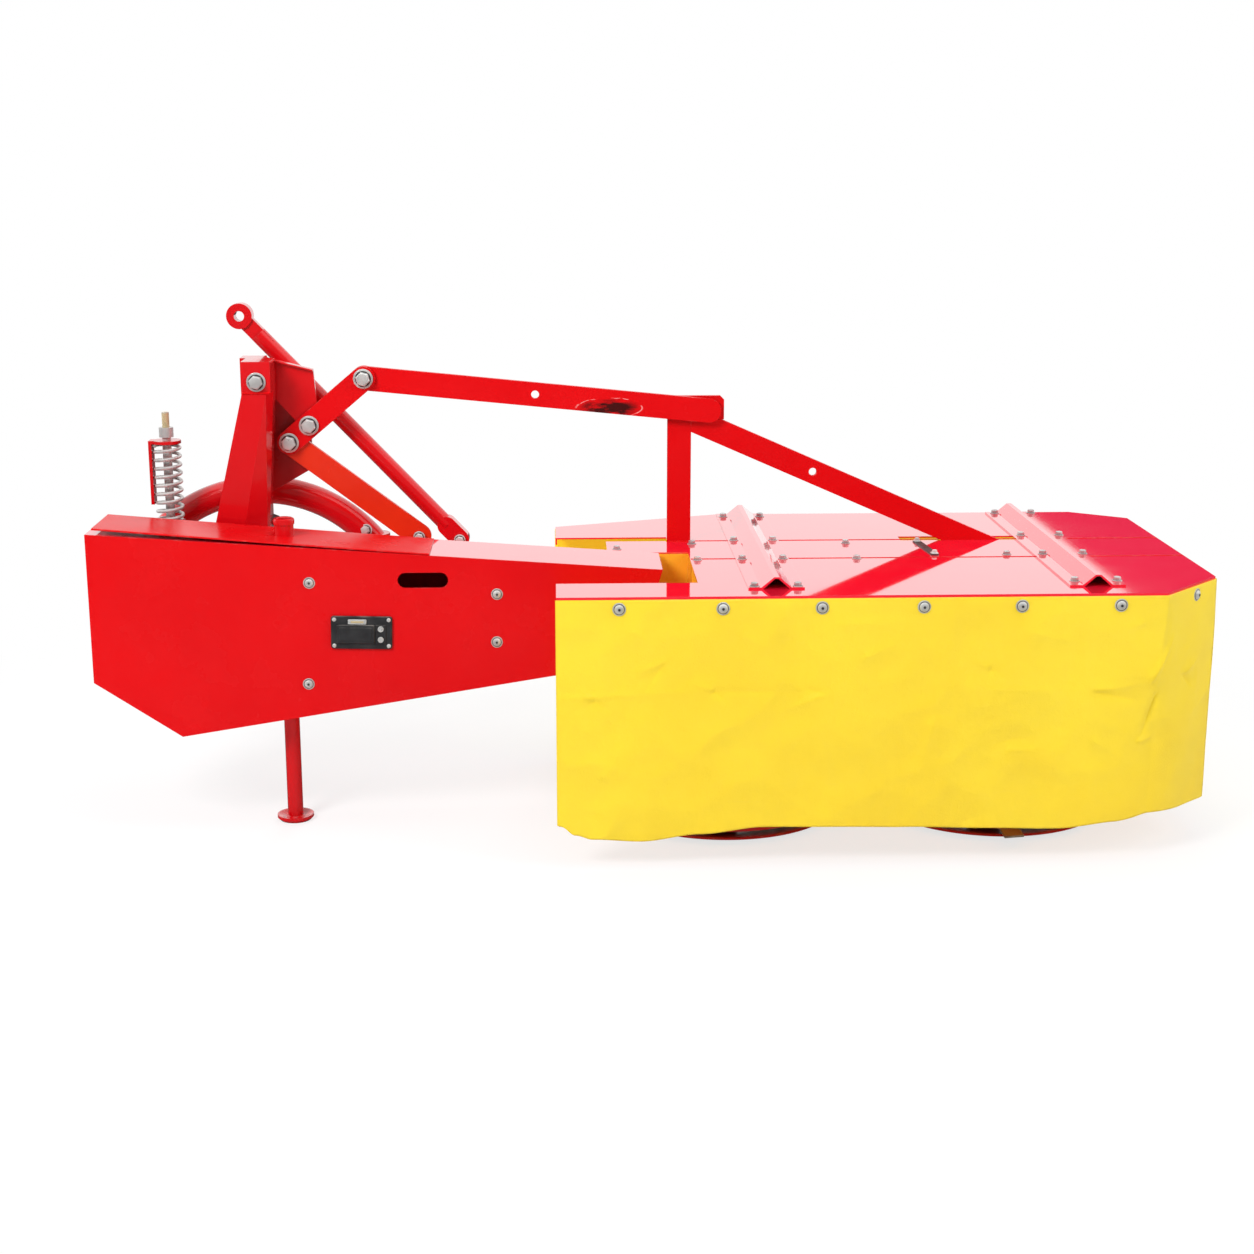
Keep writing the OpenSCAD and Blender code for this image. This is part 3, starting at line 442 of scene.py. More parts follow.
def makeCurtainCloth(name, glow):
    material, tree, shader = startMaterial(name)
    film = placeGroup(tree, paintFilm, Colour=curtainSet["colour"], Deep=curtainSet["deep"], Patch_Scale=2.2)
    dust = placeGroup(tree, settledDust, Amount=0.25)["Mask"]
    scuff = placeGroup(tree, hairScratch, Scale=5.0, Amount=0.18)["Mask"]
    colour = mixColour(tree, scuff, film["Colour"], curtainSet["worn"])
    tree.links.new(mixColour(tree, dust, colour, fieldDust), shader.inputs["Base Color"])
    tree.links.new(ramp(tree, objectNoise(tree, 6.0, 4), 0.3, 0.7, 0.42, 0.58), shader.inputs["Roughness"])
    weave = []
    place = addNode(tree, "ShaderNodeTexCoord").outputs["Object"]
    for direction in ("X", "Z"):
        wave = addNode(tree, "ShaderNodeTexWave", wave_type="BANDS", bands_direction=direction)
        wave.inputs["Scale"].default_value = curtainSet["threads"]
        tree.links.new(place, wave.inputs["Vector"])
        weave.append(wave.outputs["Fac"])
    threads = mathNode(tree, "MAXIMUM", *weave)
    dents = addNode(tree, "ShaderNodeTexVoronoi", feature="SMOOTH_F1")
    dents.inputs["Scale"].default_value = curtainSet["dents"]
    dents.inputs["Smoothness"].default_value = curtainSet["dentBlur"]
    warp = addNode(tree, "ShaderNodeVectorMath", operation="MULTIPLY_ADD")
    drift = addNode(tree, "ShaderNodeTexNoise")
    drift.inputs["Scale"].default_value = curtainSet["drift"]
    tree.links.new(place, drift.inputs["Vector"])
    tree.links.new(drift.outputs["Color"], warp.inputs[0])
    warp.inputs[1].default_value = (curtainSet["driftReach"],) * 3
    tree.links.new(place, warp.inputs[2])
    tree.links.new(warp.outputs[0], dents.inputs["Vector"])
    grain = mathNode(tree, "MULTIPLY", film["Peel"], 0.05)
    height = mathNode(tree, "ADD", mathNode(tree, "MULTIPLY", threads, 0.03), grain)
    height = mathNode(tree, "ADD", height, dents.outputs["Distance"])
    bumpInto(tree, shader, height, 0.9, 0.024)
    shader.inputs["Sheen Weight"].default_value = 0.05
    if glow:
        shader.inputs["Emission Color"].default_value = (*curtainSet["colour"], 1)
        shader.inputs["Emission Strength"].default_value = glow
    return material


plasticSet = {"colour": (0.018, 0.018, 0.020), "deep": (0.030, 0.030, 0.032)}


def makeBlackPlastic():
    material, tree, shader = startMaterial("blackPlastic")
    film = placeGroup(tree, paintFilm, Colour=plasticSet["colour"], Deep=plasticSet["deep"], Patch_Scale=30.0,
                      Peel_Scale=900.0)
    dust = placeGroup(tree, settledDust, Amount=0.3, Scale=30.0)["Mask"]
    tree.links.new(mixColour(tree, dust, film["Colour"], fieldDust), shader.inputs["Base Color"])
    tree.links.new(ramp(tree, objectNoise(tree, 40.0, 4), 0.3, 0.7, 0.32, 0.5), shader.inputs["Roughness"])
    bumpInto(tree, shader, film["Peel"], 0.25, 0.0004)
    return material


mirrorCard()
finish = {name: makePaint(name) for name in paintSet}
finish.update({name: makeMetal(name) for name in metalSet})
finish["curtainCloth"] = makeCurtainCloth("curtainCloth", 0.0)
finish["curtainInside"] = makeCurtainCloth("curtainInside", curtainSet["insideGlow"])
finish["blackPlastic"] = makeBlackPlastic()

nodeFinish = {
    "deckPaint": ["deck_rear", "deck_strip", "deck_front", "rib_left", "rib_right", "housing_body"],
    "drumPaint": ["drive_hub", "drum_left", "drum_right", "dish_left", "dish_right"],
    "gussetShadeRed": ["kingpost_gusset"],
    "underDeckAmber": ["gear_beam", "hinge_tube"],
    "glossRed": ["hoop", "stay", "kingpost", "lever_bracket", "leg_sleeve", "leg", "swing_lug", "spring_clamp",
                 "link_bracket", "stay_bracket", "swing_arm"],
    "tiePaint": ["tie_bar"],
    "orangePaint": ["lower_link"],
    "knifeSteel": ["knives_left", "knives_right"],
    "zincSteel": ["input_shaft", "hitch_pins", "swing_rod", "safety_spring"],
    "curtainCloth": ["curtain_rear", "curtain_end", "curtain_front"],
}


def dressNodes():
    byNode = {node: name for name, group in nodeFinish.items() for node in group}
    for name, node in nodes.items():
        node.data.materials.clear()
        node.data.materials.append(finish[byNode.get(name, "redPaint")])


dressNodes()
print("finishes made:", len(finish))


def finishPiece(name, mesh, material, body, smooth=True):
    data = bpy.data.meshes.new(name)
    bmesh.ops.recalc_face_normals(mesh, faces=mesh.faces)
    mesh.to_mesh(data)
    mesh.free()
    piece = bpy.data.objects.new(name, data)
    bpy.context.scene.collection.objects.link(piece)
    for one in material if isinstance(material, (list, tuple)) else [material]:
        data.materials.append(finish[one])
    if smooth:
        data.shade_smooth()
        split = piece.modifiers.new("split", "EDGE_SPLIT")
        split.split_angle = math.radians(38)
    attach(piece, body)
    return piece


def turnedOn(mesh, centre, axis, profile, sides=32, index=0):
    # profile is a list of (distance along the axis, radius) in metres; six sides give a hexagon
    axis = Vector(axis).normalized()
    side = axis.orthogonal().normalized()
    other = axis.cross(side)
    rings = []
    for along, radius in profile:
        ring = []
        for i in range(sides):
            angle = 2 * math.pi * i / sides
            out = side * math.cos(angle) + other * math.sin(angle)
            ring.append(mesh.verts.new(centre + axis * along + out * radius))
        rings.append(ring)
    faces = []
    for low, high in zip(rings, rings[1:]):
        for i in range(sides):
            faces.append(mesh.faces.new((low[i], low[(i + 1) % sides], high[(i + 1) % sides], high[i])))
    faces.append(mesh.faces.new(rings[-1]))
    faces.append(mesh.faces.new(list(reversed(rings[0]))))
    for face in faces:
        face.material_index = index


boltSet = {"washer": 0.0120, "washerT": 0.0022, "flat": 0.0088, "head": 0.0080}


def hexBolt(mesh, place, axis, size=1.0, index=0, gap=None):
    axis = Vector(axis).normalized()
    washer, thick = boltSet["washer"] * size, boltSet["washerT"] * size
    flat, head = boltSet["flat"] * size, boltSet["head"] * size
    turnedOn(mesh, place, axis, [(-0.001, washer * 0.97), (thick * 0.3, washer), (thick * 0.8, washer),
                                 (thick, washer * 0.95)], 28, index)
    top = place + axis * thick
    turnedOn(mesh, top, axis, [(-0.0004, flat), (head * 0.82, flat), (head, flat * 0.84)], 6, index)
    turnedOn(mesh, top, axis, [(head - 0.0003, flat * 0.80), (head + 0.0002 * size, flat * 0.72)], 24, index)
    if gap is not None:  # dark ring round the foot of the head: painted shade
        turnedOn(mesh, top, axis, [(-0.0003, flat * 1.10), (0.0003, flat * 1.09)], 28, gap)


def boltRow(name, places, axis, body, size, steel="zincSteel"):
    mesh = bmesh.new()
    for place in places:
        # index 1 gives each head its dark ring of painted shade
        hexBolt(mesh, at(*place), axis, size, 0, 1)
    finishPiece(name, mesh, [steel, "darkSteelAndShade"], body)


# button head: profiles as distance along the axis and radius, in metres at size 1
buttonSet = {
    "washer": [(-0.001, 0.0125), (0.0012, 0.0128), (0.0022, 0.0122)], "gap": [(0.0019, 0.0106), (0.0026, 0.0105)],
    "foot": 0.0018, "rise": 0.0052, "dome": 0.0095, "socket": [(0.0060, 0.0030), (0.0072, 0.0027)],
}


def buttonBolt(mesh, place, axis, size):
    look = buttonSet
    axis = Vector(axis).normalized()
    turnedOn(mesh, place, axis, [(along, radius * size) for along, radius in look["washer"]], 28)
    # dark ring round the foot of the dome: painted shade
    turnedOn(mesh, place, axis, [(along, radius * size) for along, radius in look["gap"]], 28, 1)
    dome = [(look["foot"] + look["rise"] * size * math.sin(a), look["dome"] * size * math.cos(a))
            for a in (0, 0.35, 0.7, 1.0, 1.2)]
    turnedOn(mesh, place, axis, dome, 28)
    # dark hexagon on the dome's top: painted shade of the socket's recess
    turnedOn(mesh, place, axis, [(along * size, radius * size) for along, radius in look["socket"]], 6, 1)


def buttonRow(name, places, axis, body, size):
    mesh = bmesh.new()
    for place in places:
        buttonBolt(mesh, at(*place), axis, size)
    finishPiece(name, mesh, ["zincSteel", "darkSteelAndShade"], body)


clothSet = {
    "thick": 0.0028, "tall": 550, "top": 642, "bulge": 2.5, "slack": 1.5, "foldGain": 3.0,
    "corner": 45,  # reach of the soft bend at a corner
    "tuck": (34, 160),  # the cloth rounds off the deck's corner below its edge: depth and reach
    "endEdge": (102, 6, 160), "frontEdge": (96, 10, 300),  # height, sway and its length along the cloth
    "lowEdge": [(-20, 118), (7, 106), (40, 84), (81, 73), (192, 67), (330, 84), (476, 100), (640, 98), (797, 95),
                (985, 90), (1169, 86), (1300, 100), (1394, 112), (1480, 108), (1560, 102)],
    # folds of the rear cloth: start and end along the cloth and in height, width, height, all in millimetres
    "folds": [
        ((15, 412), (356, 428), 7, 1.3), ((356, 428), (620, 420), 7, -1.0), ((1000, 424), (1232, 420), 7, 1.0),
        ((1232, 420), (1372, 436), 9, 2.4), ((1232, 418), (1360, 388), 10, -2.6), ((1372, 437), (1446, 552), 11, 4.0),
        ((1402, 400), (1350, 292), 11, -3.6), ((1350, 292), (1405, 305), 8, 2.2), ((1490, 441), (1560, 470), 10, 3.6),
        ((1490, 441), (1530, 400), 9, -3.2), ((1343, 580), (1300, 560), 12, 2.4), ((620, 420), (505, 372), 12, 2.6),
        ((620, 418), (560, 436), 8, -1.6), ((356, 429), (300, 452), 9, 1.8), ((356, 427), (395, 404), 9, -1.6),
        ((82, 409), (46, 440), 9, 1.6), ((82, 407), (130, 380), 9, -1.4), ((172, 573), (205, 545), 12, 2.2),
        ((246, 496), (180, 470), 12, 2.2), ((246, 494), (205, 430), 10, -1.8), ((991, 477), (950, 500), 9, 1.8),
        ((991, 475), (1030, 455), 9, -1.6), ((644, 580), (838, 590), 16, 2.2), ((869, 352), (828, 195), 26, 2.8),
        ((1047, 280), (1150, 276), 14, 1.8), ((110, 218), (150, 300), 18, 2.0), ((1240, 300), (1330, 240), 16, 1.8),
        ((1080, 560), (1210, 530), 18, 1.8), ((700, 500), (790, 545), 15, 1.7), ((420, 560), (500, 520), 15, 1.6)],
}


def curve(points, x):
    for (x0, z0), (x1, z1) in zip(points, points[1:]):
        if x <= x1:
            share = max(0.0, (x - x0) / (x1 - x0))
            share = share * share * (3 - 2 * share)
            return z0 + (z1 - z0) * share
    return points[-1][1]


def chanceFolds(seed, length, count):
    dice = random.Random(seed)
    folds = []
    for _ in range(count):
        run, z, angle = dice.uniform(20, length - 20), dice.uniform(150, 600), dice.uniform(-1.2, 1.2)
        reach = dice.uniform(40, 150)
        folds.append(((run, z), (run + reach * math.cos(angle), z + reach * math.sin(angle)), dice.uniform(9, 20),
                      dice.uniform(-2.6, 2.6)))
    return folds


def foldHeight(folds, run, z):
    total = 0.0
    for (u0, v0), (u1, v1), wide, high in folds:
        reach = math.hypot(u1 - u0, v1 - v0)
        dx, dy = (u1 - u0) / reach, (v1 - v0) / reach
        du, dv = run - u0, z - v0
        along = (du * dx + dv * dy) / reach
        if not -0.1 < along < 1.0:
            continue
        across = abs(du * dy - dv * dx) / wide
        if across < 4:  # a sharp ridge, steep at its start and running out to the end
            total += high * math.exp(-1.4 * across) * min(1.0, (along + 0.1) * 6) * (1 - max(0.0, along)) ** 0.7
    return total


def curtain(name, node, path, lowAt, seed, step, folds):
    # path is the top edge in layout millimetres, counter-clockwise round the deck
    look, topZ = clothSet, clothSet["top"]
    points, lengths = [Vector((*p, 0)) for p in path], [0.0]
    for a, b in zip(points, points[1:]):
        lengths.append(lengths[-1] + (b - a).length)
    total = lengths[-1]
    columns, rows = max(2, round(total / step)), round(look["tall"] / step)
    mesh = bmesh.new()
    grid, lowest = [], topZ
    for i in range(columns + 1):
        run = total * i / columns
        k = max(j for j in range(len(lengths) - 1) if lengths[j] <= run + 1e-6)
        way = (points[k + 1] - points[k]).normalized()
        base = points[k] + way * (run - lengths[k])
        out = Vector((way.y, -way.x, 0))
        near = min(run - lengths[k], lengths[k + 1] - run)
        blend = 0.5 * (1 - near / look["corner"])
        if 0 < k and run - lengths[k] < look["corner"]:
            other = (points[k] - points[k - 1]).normalized()
            out = out.lerp(Vector((other.y, -other.x, 0)), blend).normalized()
        if k < len(points) - 2 and lengths[k + 1] - run < look["corner"]:
            other = (points[k + 2] - points[k + 1]).normalized()
            out = out.lerp(Vector((other.y, -other.x, 0)), blend).normalized()
        low = lowAt(base.x, run)
        lowest = min(lowest, low)
        corner = min(abs(run - edge) for edge in lengths[1:-1])
        depth, reach = look["tuck"]
        tuck = depth * max(0.0, 1 - corner / reach) ** 2
        column = []
        for j in range(rows + 1):
            share = j / rows
            z = topZ - (topZ - low) * share
            loose = min(1.0, share * 5)
            wave = noise.noise(Vector((run / 260, z / 340, seed))) * 4.0
            wave += noise.noise(Vector((run / 95, z / 130, seed + 5))) * 1.4
            crease = look["foldGain"] * foldHeight(folds, run, z)
            bulge = look["bulge"] + loose * (look["slack"] + wave * (0.35 + 0.65 * share) + crease)
            bulge -= tuck * min(1.0, 1.8 * share)
            column.append(mesh.verts.new(at(base.x + out.x * bulge, base.y + out.y * bulge, z)))
        grid.append(column)
    for left, right in zip(grid, grid[1:]):
        for j in range(rows):
            mesh.faces.new((left[j], left[j + 1], right[j + 1], right[j]))
    piece = finishPiece(name, mesh, ["curtainCloth", "curtainInside"], "deck", smooth=False)
    middle = piece.data.polygons[len(piece.data.polygons) // 2]
    if middle.normal.dot(middle.center - at(700, 500, 300)) < 0:  # faces look away from the deck's middle
        piece.data.flip_normals()
    piece.data.shade_smooth()
    solid = piece.modifiers.new("cloth", "SOLIDIFY")
    solid.thickness = look["thick"]
    solid.offset = 0
    solid.material_offset = 1
    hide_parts(node)
    return piece, (total / 1000, (topZ - lowest) / 1000)


def rearLow(x, run):
    return curve(clothSet["lowEdge"], x)


def endLow(x, run):
    height, sway, length = clothSet["endEdge"]
    return height + sway * math.sin(run / length)


def frontLow(x, run):
    height, sway, length = clothSet["frontEdge"]
    return height + sway * noise.noise(Vector((run / length, 1.7, 4.0)))


curtains = [
    curtain("curtainRear", "curtain_rear", [(-2, 0), (1394, 0), (1557, 170)], rearLow, 11, 5.0, clothSet["folds"]),
    curtain("curtainEnd", "curtain_end", [(1557, 170), (1557, 912), (1420, 1010)], endLow, 23, 8.0,
            chanceFolds(23, 900, 26)),
    curtain("curtainFront", "curtain_front", [(1420, 1010), (447, 1010), (0, 842)], frontLow, 37, 8.0,
            chanceFolds(37, 1450, 34)),
]
for piece, cut in curtains:
    bpy.context.view_layer.update()
print("curtain hung in", len(curtains), "sheets")


# button heads on the curtain and the cover: places, direction, body, size
buttonRows = {
    "curtainBolts": ([(x, -4.5, 621) for x in (142, 377, 602, 834, 1058, 1285)], (0, -1, 0), "deck", 1.2),
    "cornerBolts": ([(1490, 96, 621)], (1, -0.96, 0), "deck", 1.2),
    "endBolts": ([(1561.5, y, 621) for y in (270, 470, 670, 850)], (1, 0, 0), "deck", 1.2),
    "frontBolts": ([(x, 1014.5, 621) for x in (1330, 1090, 860, 640)], (0, 1, 0), "deck", 1.2),
    "slantBolts": ([(331, 970, 621), (114, 890, 621)], (-0.352, 0.936, 0), "deck", 1.2),
    "coverBolts": ([(-587, 280, 625), (-597, 280, 376), (-141, 280, 594), (-143, 280, 476)], (0, -1, 0),
                   "belt_housing", 1.1),
}
# hexagon heads: places, direction, body, size, steel
hexRows = {
    "leftRibBolts": ([(506 + side * 50, y, 652) for side in (-1, 1) for y in (82, 388, 622, 948)], (0, 0, 1), "deck",
                     1.0, "boltSteel"),
    "rightRibBolts": ([(1256 + side * 50, y, 652) for side in (-1, 1) for y in (113, 423, 660, 972)], (0, 0, 1), "deck",
                      1.0, "boltSteel"),
    "seamBolts": ([(347, 600, 648), (347, 398, 648), (740, 594, 648), (740, 402, 648), (1120, 438, 648),
                   (154, 538, 648)], (0, 0, 1), "deck", 0.95, "boltSteel"),
    "leverBolts": ([(-612, 595, 957), (-663, 595, 914), (-474, 595, 1073)], (0, -1, 0), "lever", 2.05, "zincSteel"),
    "postBolt": ([(-724, 500, 1077)], (0, -1, 0), "headstock", 1.95, "zincSteel"),
    "linkPinHead": ([(-345, 595.5, 672)], (0, -1, 0), "belt_housing", 1.25, "zincSteel"),
    "stayPinHead": ([(-246, 662, 650)], (0, -1, 0), "belt_housing", 1.25, "zincSteel"),
    "hoopBolt": ([(-485, 669, 676)], (-0.25, -1, 0.2), "hitch_frame", 1.35, "zincSteel"),
}
knifeSet = {"left": (415, -30), "right": (1090, -90), "y": 430, "z": 29, "ring": 253, "size": 0.85}


def knifeBolts(side):
    x, phase = knifeSet[side]
    places = []
    for k in range(3):
        angle = math.radians(phase + 120 * k)
        places.append((x + knifeSet["ring"] * math.cos(angle), knifeSet["y"] + knifeSet["ring"] * math.sin(angle),
                       knifeSet["z"]))
    boltRow(side + "KnifeBolts", places, (0, 0, -1), side + "_drum", knifeSet["size"], "darkSteelAndShade")


for name, row in buttonRows.items():
    buttonRow(name, *row)
for name, row in hexRows.items():
    boltRow(name, *row)
knifeBolts("left")
knifeBolts("right")
print("bolts set")


springSet = {"axis": (-967, 600), "low": 713, "high": 913.5, "turns": 9.6, "mean": 30.8, "wire": 4.4}


def safetySpring():
    look, steps, sides = springSet, 36, 14
    count = int(look["turns"] * steps)
    slopes = [min(1.0, 0.30 + 0.7 * min(i, count - i) / (0.9 * steps)) for i in range(count)]
    rise, total = [0.0], sum(slopes)
    for slope in slopes:
        rise.append(rise[-1] + slope / total)
    mesh = bmesh.new()
    rings = []
    for i, share in enumerate(rise):
        angle = 2 * math.pi * i / steps
        radial = Vector((math.cos(angle), math.sin(angle), 0))
        z = look["low"] + look["wire"] + (look["high"] - look["low"] - 2 * look["wire"]) * share
        centre = at(*look["axis"], z) + radial * look["mean"] / 1000
        rings.append([mesh.verts.new(centre + (radial * math.cos(a) + Vector((0, 0, 1)) * math.sin(a))
                                     * look["wire"] / 1000) for a in (2 * math.pi * k / sides for k in range(sides))])
    for low, high in zip(rings, rings[1:]):
        for k in range(sides):
            mesh.faces.new((low[k], high[k], high[(k + 1) % sides], low[(k + 1) % sides]))
    mesh.faces.new(rings[0])
    mesh.faces.new(list(reversed(rings[-1])))
    piece = finishPiece("safetySpring", mesh, "zincSteel", "hitch_frame")
    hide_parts("safety_spring")


studSet = {"low": 953, "high": 991.5, "radius": 9.2, "pitch": 2.0}


def springStud():
    mesh = bmesh.new()
    profile, z = [(0.0, 0.0086)], studSet["low"]
    while z < studSet["high"] - 3:
        along = (z - studSet["low"]) / 1000
        profile += [(along + 0.0004, 0.0088), (along + 0.0011, studSet["radius"] / 1000)]
        z += studSet["pitch"]
    top = (studSet["high"] - studSet["low"]) / 1000
    profile += [(top - 0.002, studSet["radius"] / 1000), (top + 0.0006, 0.0074)]
    turnedOn(mesh, at(*springSet["axis"], studSet["low"]), (0, 0, 1), profile, 32)
    finishPiece("springStud", mesh, "brassStud", "headstock")


safetySpring()
springStud()
print("spring wound")


def slab(mesh, centre, across, upward, size, corner, chamfer, index=0):
    # plate with round corners and a chamfer, its size in millimetres
    steps = 4
    across, upward = Vector(across).normalized(), Vector(upward).normalized()
    outward = across.cross(upward)
    width, height, depth = (v / 1000 for v in size)
    rings = []
    for push, inset in ((-0.0005, 0.0), (depth - chamfer, 0.0), (depth, chamfer)):
        ring = []
        for cx, cy, start in ((1, 1, 0), (-1, 1, 90), (-1, -1, 180), (1, -1, 270)):
            for k in range(steps + 1):
                angle = math.radians(start + 90 * k / steps)
                x = cx * (width / 2 - corner) + (corner - inset) * math.cos(angle)
                y = cy * (height / 2 - corner) + (corner - inset) * math.sin(angle)
                ring.append(mesh.verts.new(centre + across * x + upward * y + outward * push))
        rings.append(ring)
    faces = [mesh.faces.new(list(reversed(rings[0]))), mesh.faces.new(rings[-1])]
    for low, high in zip(rings, rings[1:]):
        for k in range(len(low)):
            n = (k + 1) % len(low)
            faces.append(mesh.faces.new((low[k], low[n], high[n], high[k])))
    for face in faces:
        face.material_index = index


plateSet = {
    "centre": (-466, 280, 503), "size": (146, 80, 7), "tilt": -1.2,
    # raised panels: place across and up, height over the plate, size, corner, chamfer, material
    "panels": [(-14, -3, -0.5, (92, 46, 5), 0.004, 0.0016, 0), (-14, -3, 4, (78, 33, 1.6), 0.003, 0.0006, 0),
               (46, -4, -0.5, (26, 48, 3), 0.003, 0.001, 0), (-10, 27, -0.5, (44, 12, 3), 0.002, 0.0006, 1),
               (-10, 27, 2.4, (30, 4.5, 1.2), 0.001, 0.0004, 2)],
    "inserts": [(46, 10), (46, -16)], "rivetInset": 8,
    "insert": [(0, 0.0072), (0.0016, 0.0072), (0.0022, 0.0066), (0.0022, 0.0046), (0.0012, 0.0042)],
    "rivet": [(0, 0.0052), (0.0012, 0.005), (0.0024, 0.0038), (0.003, 0.0018)],
}


def coverPlate():
    look, mesh = plateSet, bmesh.new()
    tilt = math.radians(look["tilt"])
    right, up = Vector((math.cos(tilt), 0, math.sin(tilt))), Vector((-math.sin(tilt), 0, math.cos(tilt)))
    centre = at(*look["centre"])
    width, height, depth = look["size"]

    def spot(u, v, w):
        return centre + right * u / 1000 + up * v / 1000 + Vector((0, -(depth + w) / 1000, 0))

    slab(mesh, centre, right, up, look["size"], 0.006, 0.0015)
    for u, v, w, size, corner, chamfer, index in look["panels"]:
        slab(mesh, spot(u, v, w), right, up, size, corner, chamfer, index)
    for u, v in look["inserts"]:
        turnedOn(mesh, spot(u, v, 2), (0, -1, 0), look["insert"], 28, 1)
    for u in (-1, 1):
        for v in (-1, 1):
            place = spot(u * (width / 2 - look["rivetInset"]), v * (height / 2 - look["rivetInset"]), -0.5)
            turnedOn(mesh, place, (0, -1, 0), look["rivet"], 20, 1)
    finishPiece("coverPlate", mesh, ["blackPlastic", "zincSteel", "brassStud"], "belt_housing")


coverPlate()
print("cover plate set")


strapSet = {"from": (942, 436), "to": (924, 612), "width": 20}


def deckStrap():
    mesh = bmesh.new()
    look = strapSet
    start, end = at(*look["from"], 648), at(*look["to"], 648)
    way = (end - start).normalized()
    across = Vector((way.y, -way.x, 0))
    slab(mesh, (start + end) / 2, across, way, (look["width"], (end - start).length * 1000, 3.5), 0.006, 0.0008)
    for place in (start + way * 0.011, end - way * 0.011):
        slab(mesh, place + Vector((0, 0, 0.003)), across, way, (look["width"] - 2, 20, 2.0), 0.005, 0.0006, 1)
        hexBolt(mesh, place + Vector((0, 0, 0.0048)), (0, 0, 1), 0.7, 1)
    finishPiece("deckStrap", mesh, ["darkSteelAndShade", "zincSteel"], "deck")


def deckSeams():
    mesh = bmesh.new()
    for y, start, end in ((413, 332, 1555), (639, 288, 1555)):
        slab(mesh, at((start + end) / 2, y, 648), (1, 0, 0), (0, 1, 0), (end - start, 5, 1.0), 0.001, 0.0004)
    finishPiece("deckSeams", mesh, "redPaint", "deck")


guardSet = {"left": -1094, "right": -300, "rear": 284, "front": 470, "lift": 11, "thick": 4,
            "corner": (-1110, 745), "slope": -0.06955}  # upper left corner of the housing and the slope of its top


def housingGuard():
    # loose top plate of the belt housing: it stands open at the left end and closes on the sheet
    look = guardSet
    mesh = bmesh.new()
    rings = []
    for i in range(9):
        share = i / 8
        x = look["left"] + (look["right"] - look["left"]) * share
        z = look["corner"][1] + (x - look["corner"][0]) * look["slope"] + 0.4 + look["lift"] * (1 - share) ** 1.2
        rings.append([mesh.verts.new(at(x, y, z + dz)) for y, dz in
                      ((look["rear"], 0), (look["front"], 0), (look["front"], look["thick"]),
                       (look["rear"] + 1.5, look["thick"]), (look["rear"], look["thick"] - 1.5))])
    for low, high in zip(rings, rings[1:]):
        for k in range(5):
            mesh.faces.new((low[k], low[(k + 1) % 5], high[(k + 1) % 5], high[k]))
    mesh.faces.new(rings[0])
    mesh.faces.new(list(reversed(rings[-1])))
    finishPiece("housingGuard", mesh, "redPaint", "belt_housing")


catchSet = {"place": (-676, 628, 699), "way": (-55, 0, 21)}
capSet = {"place": (-655, 380, 748)}


def catchPin():
    mesh = bmesh.new()
    place, way = at(*catchSet["place"]), Vector(catchSet["way"]).normalized()
    turnedOn(mesh, place, way, [(0, 0.0075), (0.0012, 0.0085), (0.058, 0.0085), (0.060, 0.0072)], 28)
    turnedOn(mesh, place, way, [(0.030, 0.0128), (0.031, 0.0138), (0.046, 0.0138), (0.047, 0.0128)], 28, 1)
    finishPiece("catchPin", mesh, ["zincSteel", "darkSteelAndShade"], "headstock")


def sleeveCap():
    mesh = bmesh.new()
    turnedOn(mesh, at(*capSet["place"]), (0, 0, 1), [(0, 0.0232), (0.001, 0.0252), (0.010, 0.0258), (0.0148, 0.0244),
                                                     (0.0162, 0.0215), (0.0155, 0.0175), (0.0142, 0.0168)], 40)
    finishPiece("sleeveCap", mesh, "glossRed", "belt_housing")


weldSet = {"radius": 0.0034, "step": 0.0022, "sides": 10}


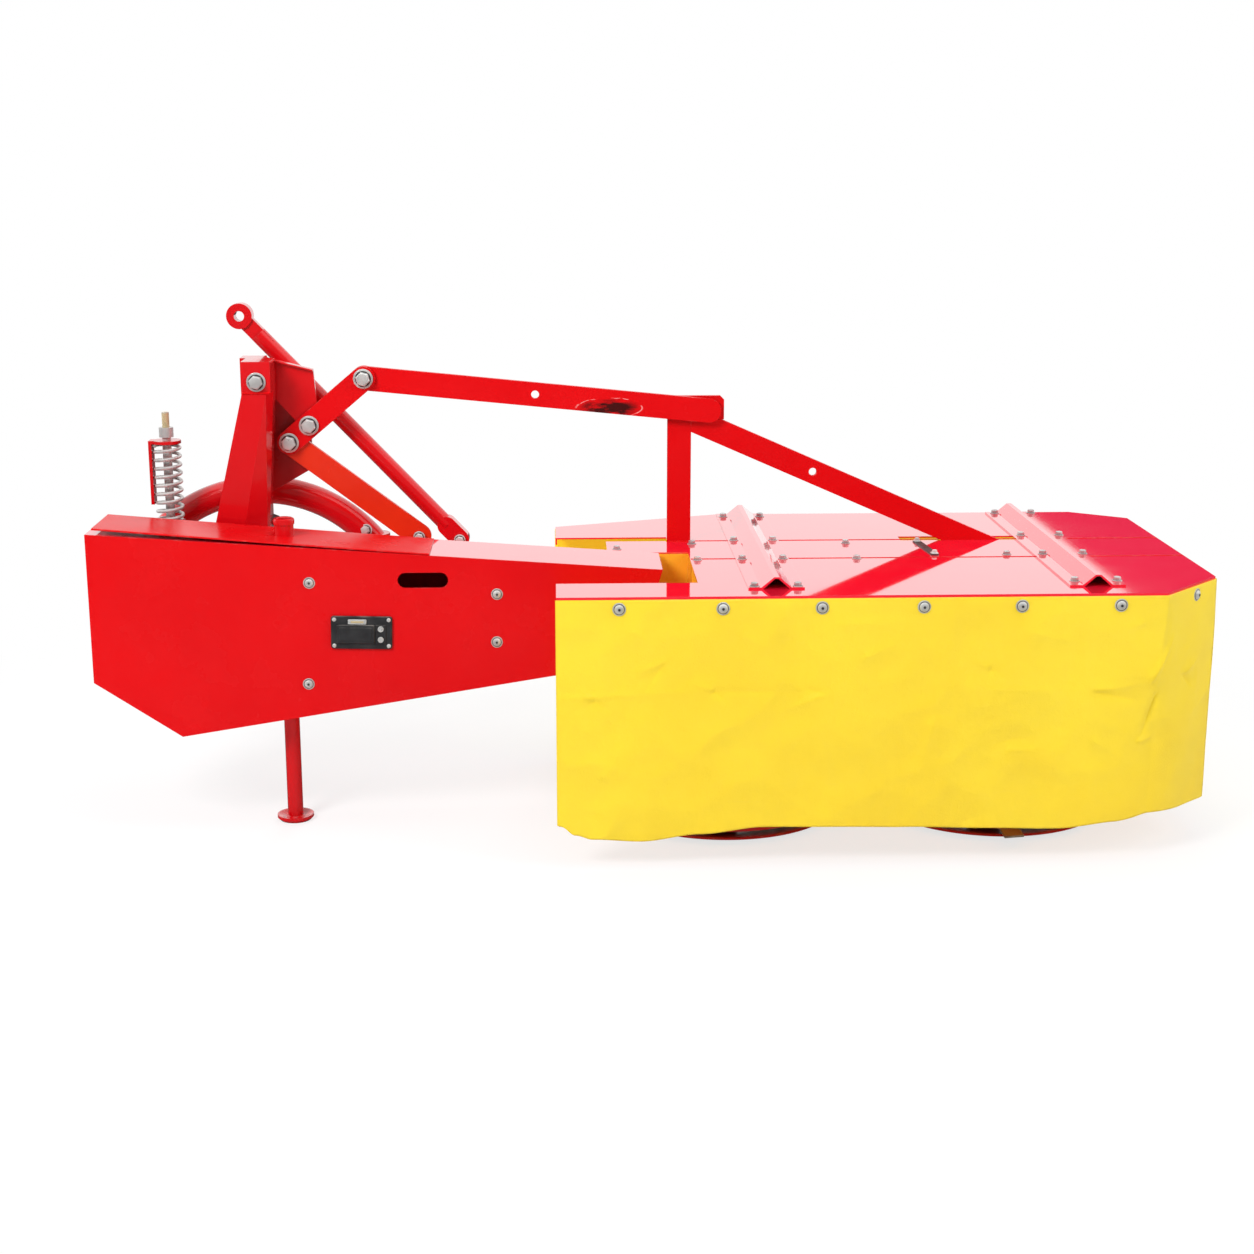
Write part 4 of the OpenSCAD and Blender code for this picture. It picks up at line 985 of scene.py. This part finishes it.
def weldBead(mesh, path, seed):
    dice, sides = random.Random(seed), weldSet["sides"]
    points = [Vector(p) for p in path]
    samples = []
    for a, b in zip(points, points[1:]):
        count = max(2, round((b - a).length / weldSet["step"]))
        samples += [a.lerp(b, k / count) for k in range(count)]
    samples.append(points[-1])
    rings = []
    for i, centre in enumerate(samples):
        ahead = samples[min(i + 1, len(samples) - 1)] - samples[max(i - 1, 0)]
        way = ahead.normalized()
        side = way.orthogonal().normalized()
        other = way.cross(side)
        swell = weldSet["radius"] * (0.86 + 0.22 * abs(math.sin(i * 0.85)) + dice.uniform(-0.05, 0.05))
        if i in (0, len(samples) - 1):
            swell *= 0.35
        rings.append([mesh.verts.new(centre + (side * math.cos(a) + other * math.sin(a)) * swell)
                      for a in (2 * math.pi * k / sides for k in range(sides))])
    for low, high in zip(rings, rings[1:]):
        for k in range(sides):
            mesh.faces.new((low[k], high[k], high[(k + 1) % sides], low[(k + 1) % sides]))
    mesh.faces.new(rings[0])
    mesh.faces.new(list(reversed(rings[-1])))


def ringPath(centre, radius, count=40):
    axis = Vector((0, 0, 1))
    side = axis.orthogonal().normalized()
    other = axis.cross(side)
    angles = [2 * math.pi * k / count for k in range(count + 1)]
    return [centre + (side * math.cos(a) + other * math.sin(a)) * radius for a in angles]


def welds():
    groups = {
        "deckWelds": ("deck", [
            [at(286, 627, 648), at(344, 627, 648)], [at(286, 639, 648.5), at(344, 639, 648.5)]]),
        "headstockWelds": ("headstock", [
            [at(-716, 606, 1052), at(-716, 606, 1120)], [at(-716, 618, 1052), at(-716, 618, 1120)],
            [at(-760, 500.5, 1050), at(-690, 500.5, 1050)]]),
        "housingWelds": ("belt_housing", [
            ringPath(at(-655, 380, 715), 0.0235)]),
    }
    for i, (name, (body, paths)) in enumerate(groups.items()):
        mesh = bmesh.new()
        for k, path in enumerate(paths):
            weldBead(mesh, path, 10 * i + k)
        finishPiece(name, mesh, "redPaint", body)


cleatSet = {"count": 4, "radius": 165, "low": 128, "high": 470, "depth": 14, "width": 8}


def drumCleats():
    look = cleatSet
    for side in ("left", "right"):
        low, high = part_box("drum_" + side)
        axis = (low + high) / 2
        mesh = bmesh.new()
        for i in range(look["count"]):
            angle = 2 * math.pi * (i + 0.35) / look["count"]
            out = Vector((math.cos(angle), math.sin(angle), 0))
            across = Vector((-out.y, out.x, 0))
            z = (look["low"] + look["high"]) / 2000
            centre = Vector((axis.x, axis.y, z)) + out * (look["radius"] - 1) / 1000
            size = (look["width"], look["high"] - look["low"], look["depth"])
            slab(mesh, centre, across, (0, 0, 1), size, 0.003, 0.002)
        finishPiece(side + "DrumCleats", mesh, "drumPaint", side + "_drum")


deckStrap()
deckSeams()
housingGuard()
catchPin()
sleeveCap()
welds()
drumCleats()
print("small parts set")
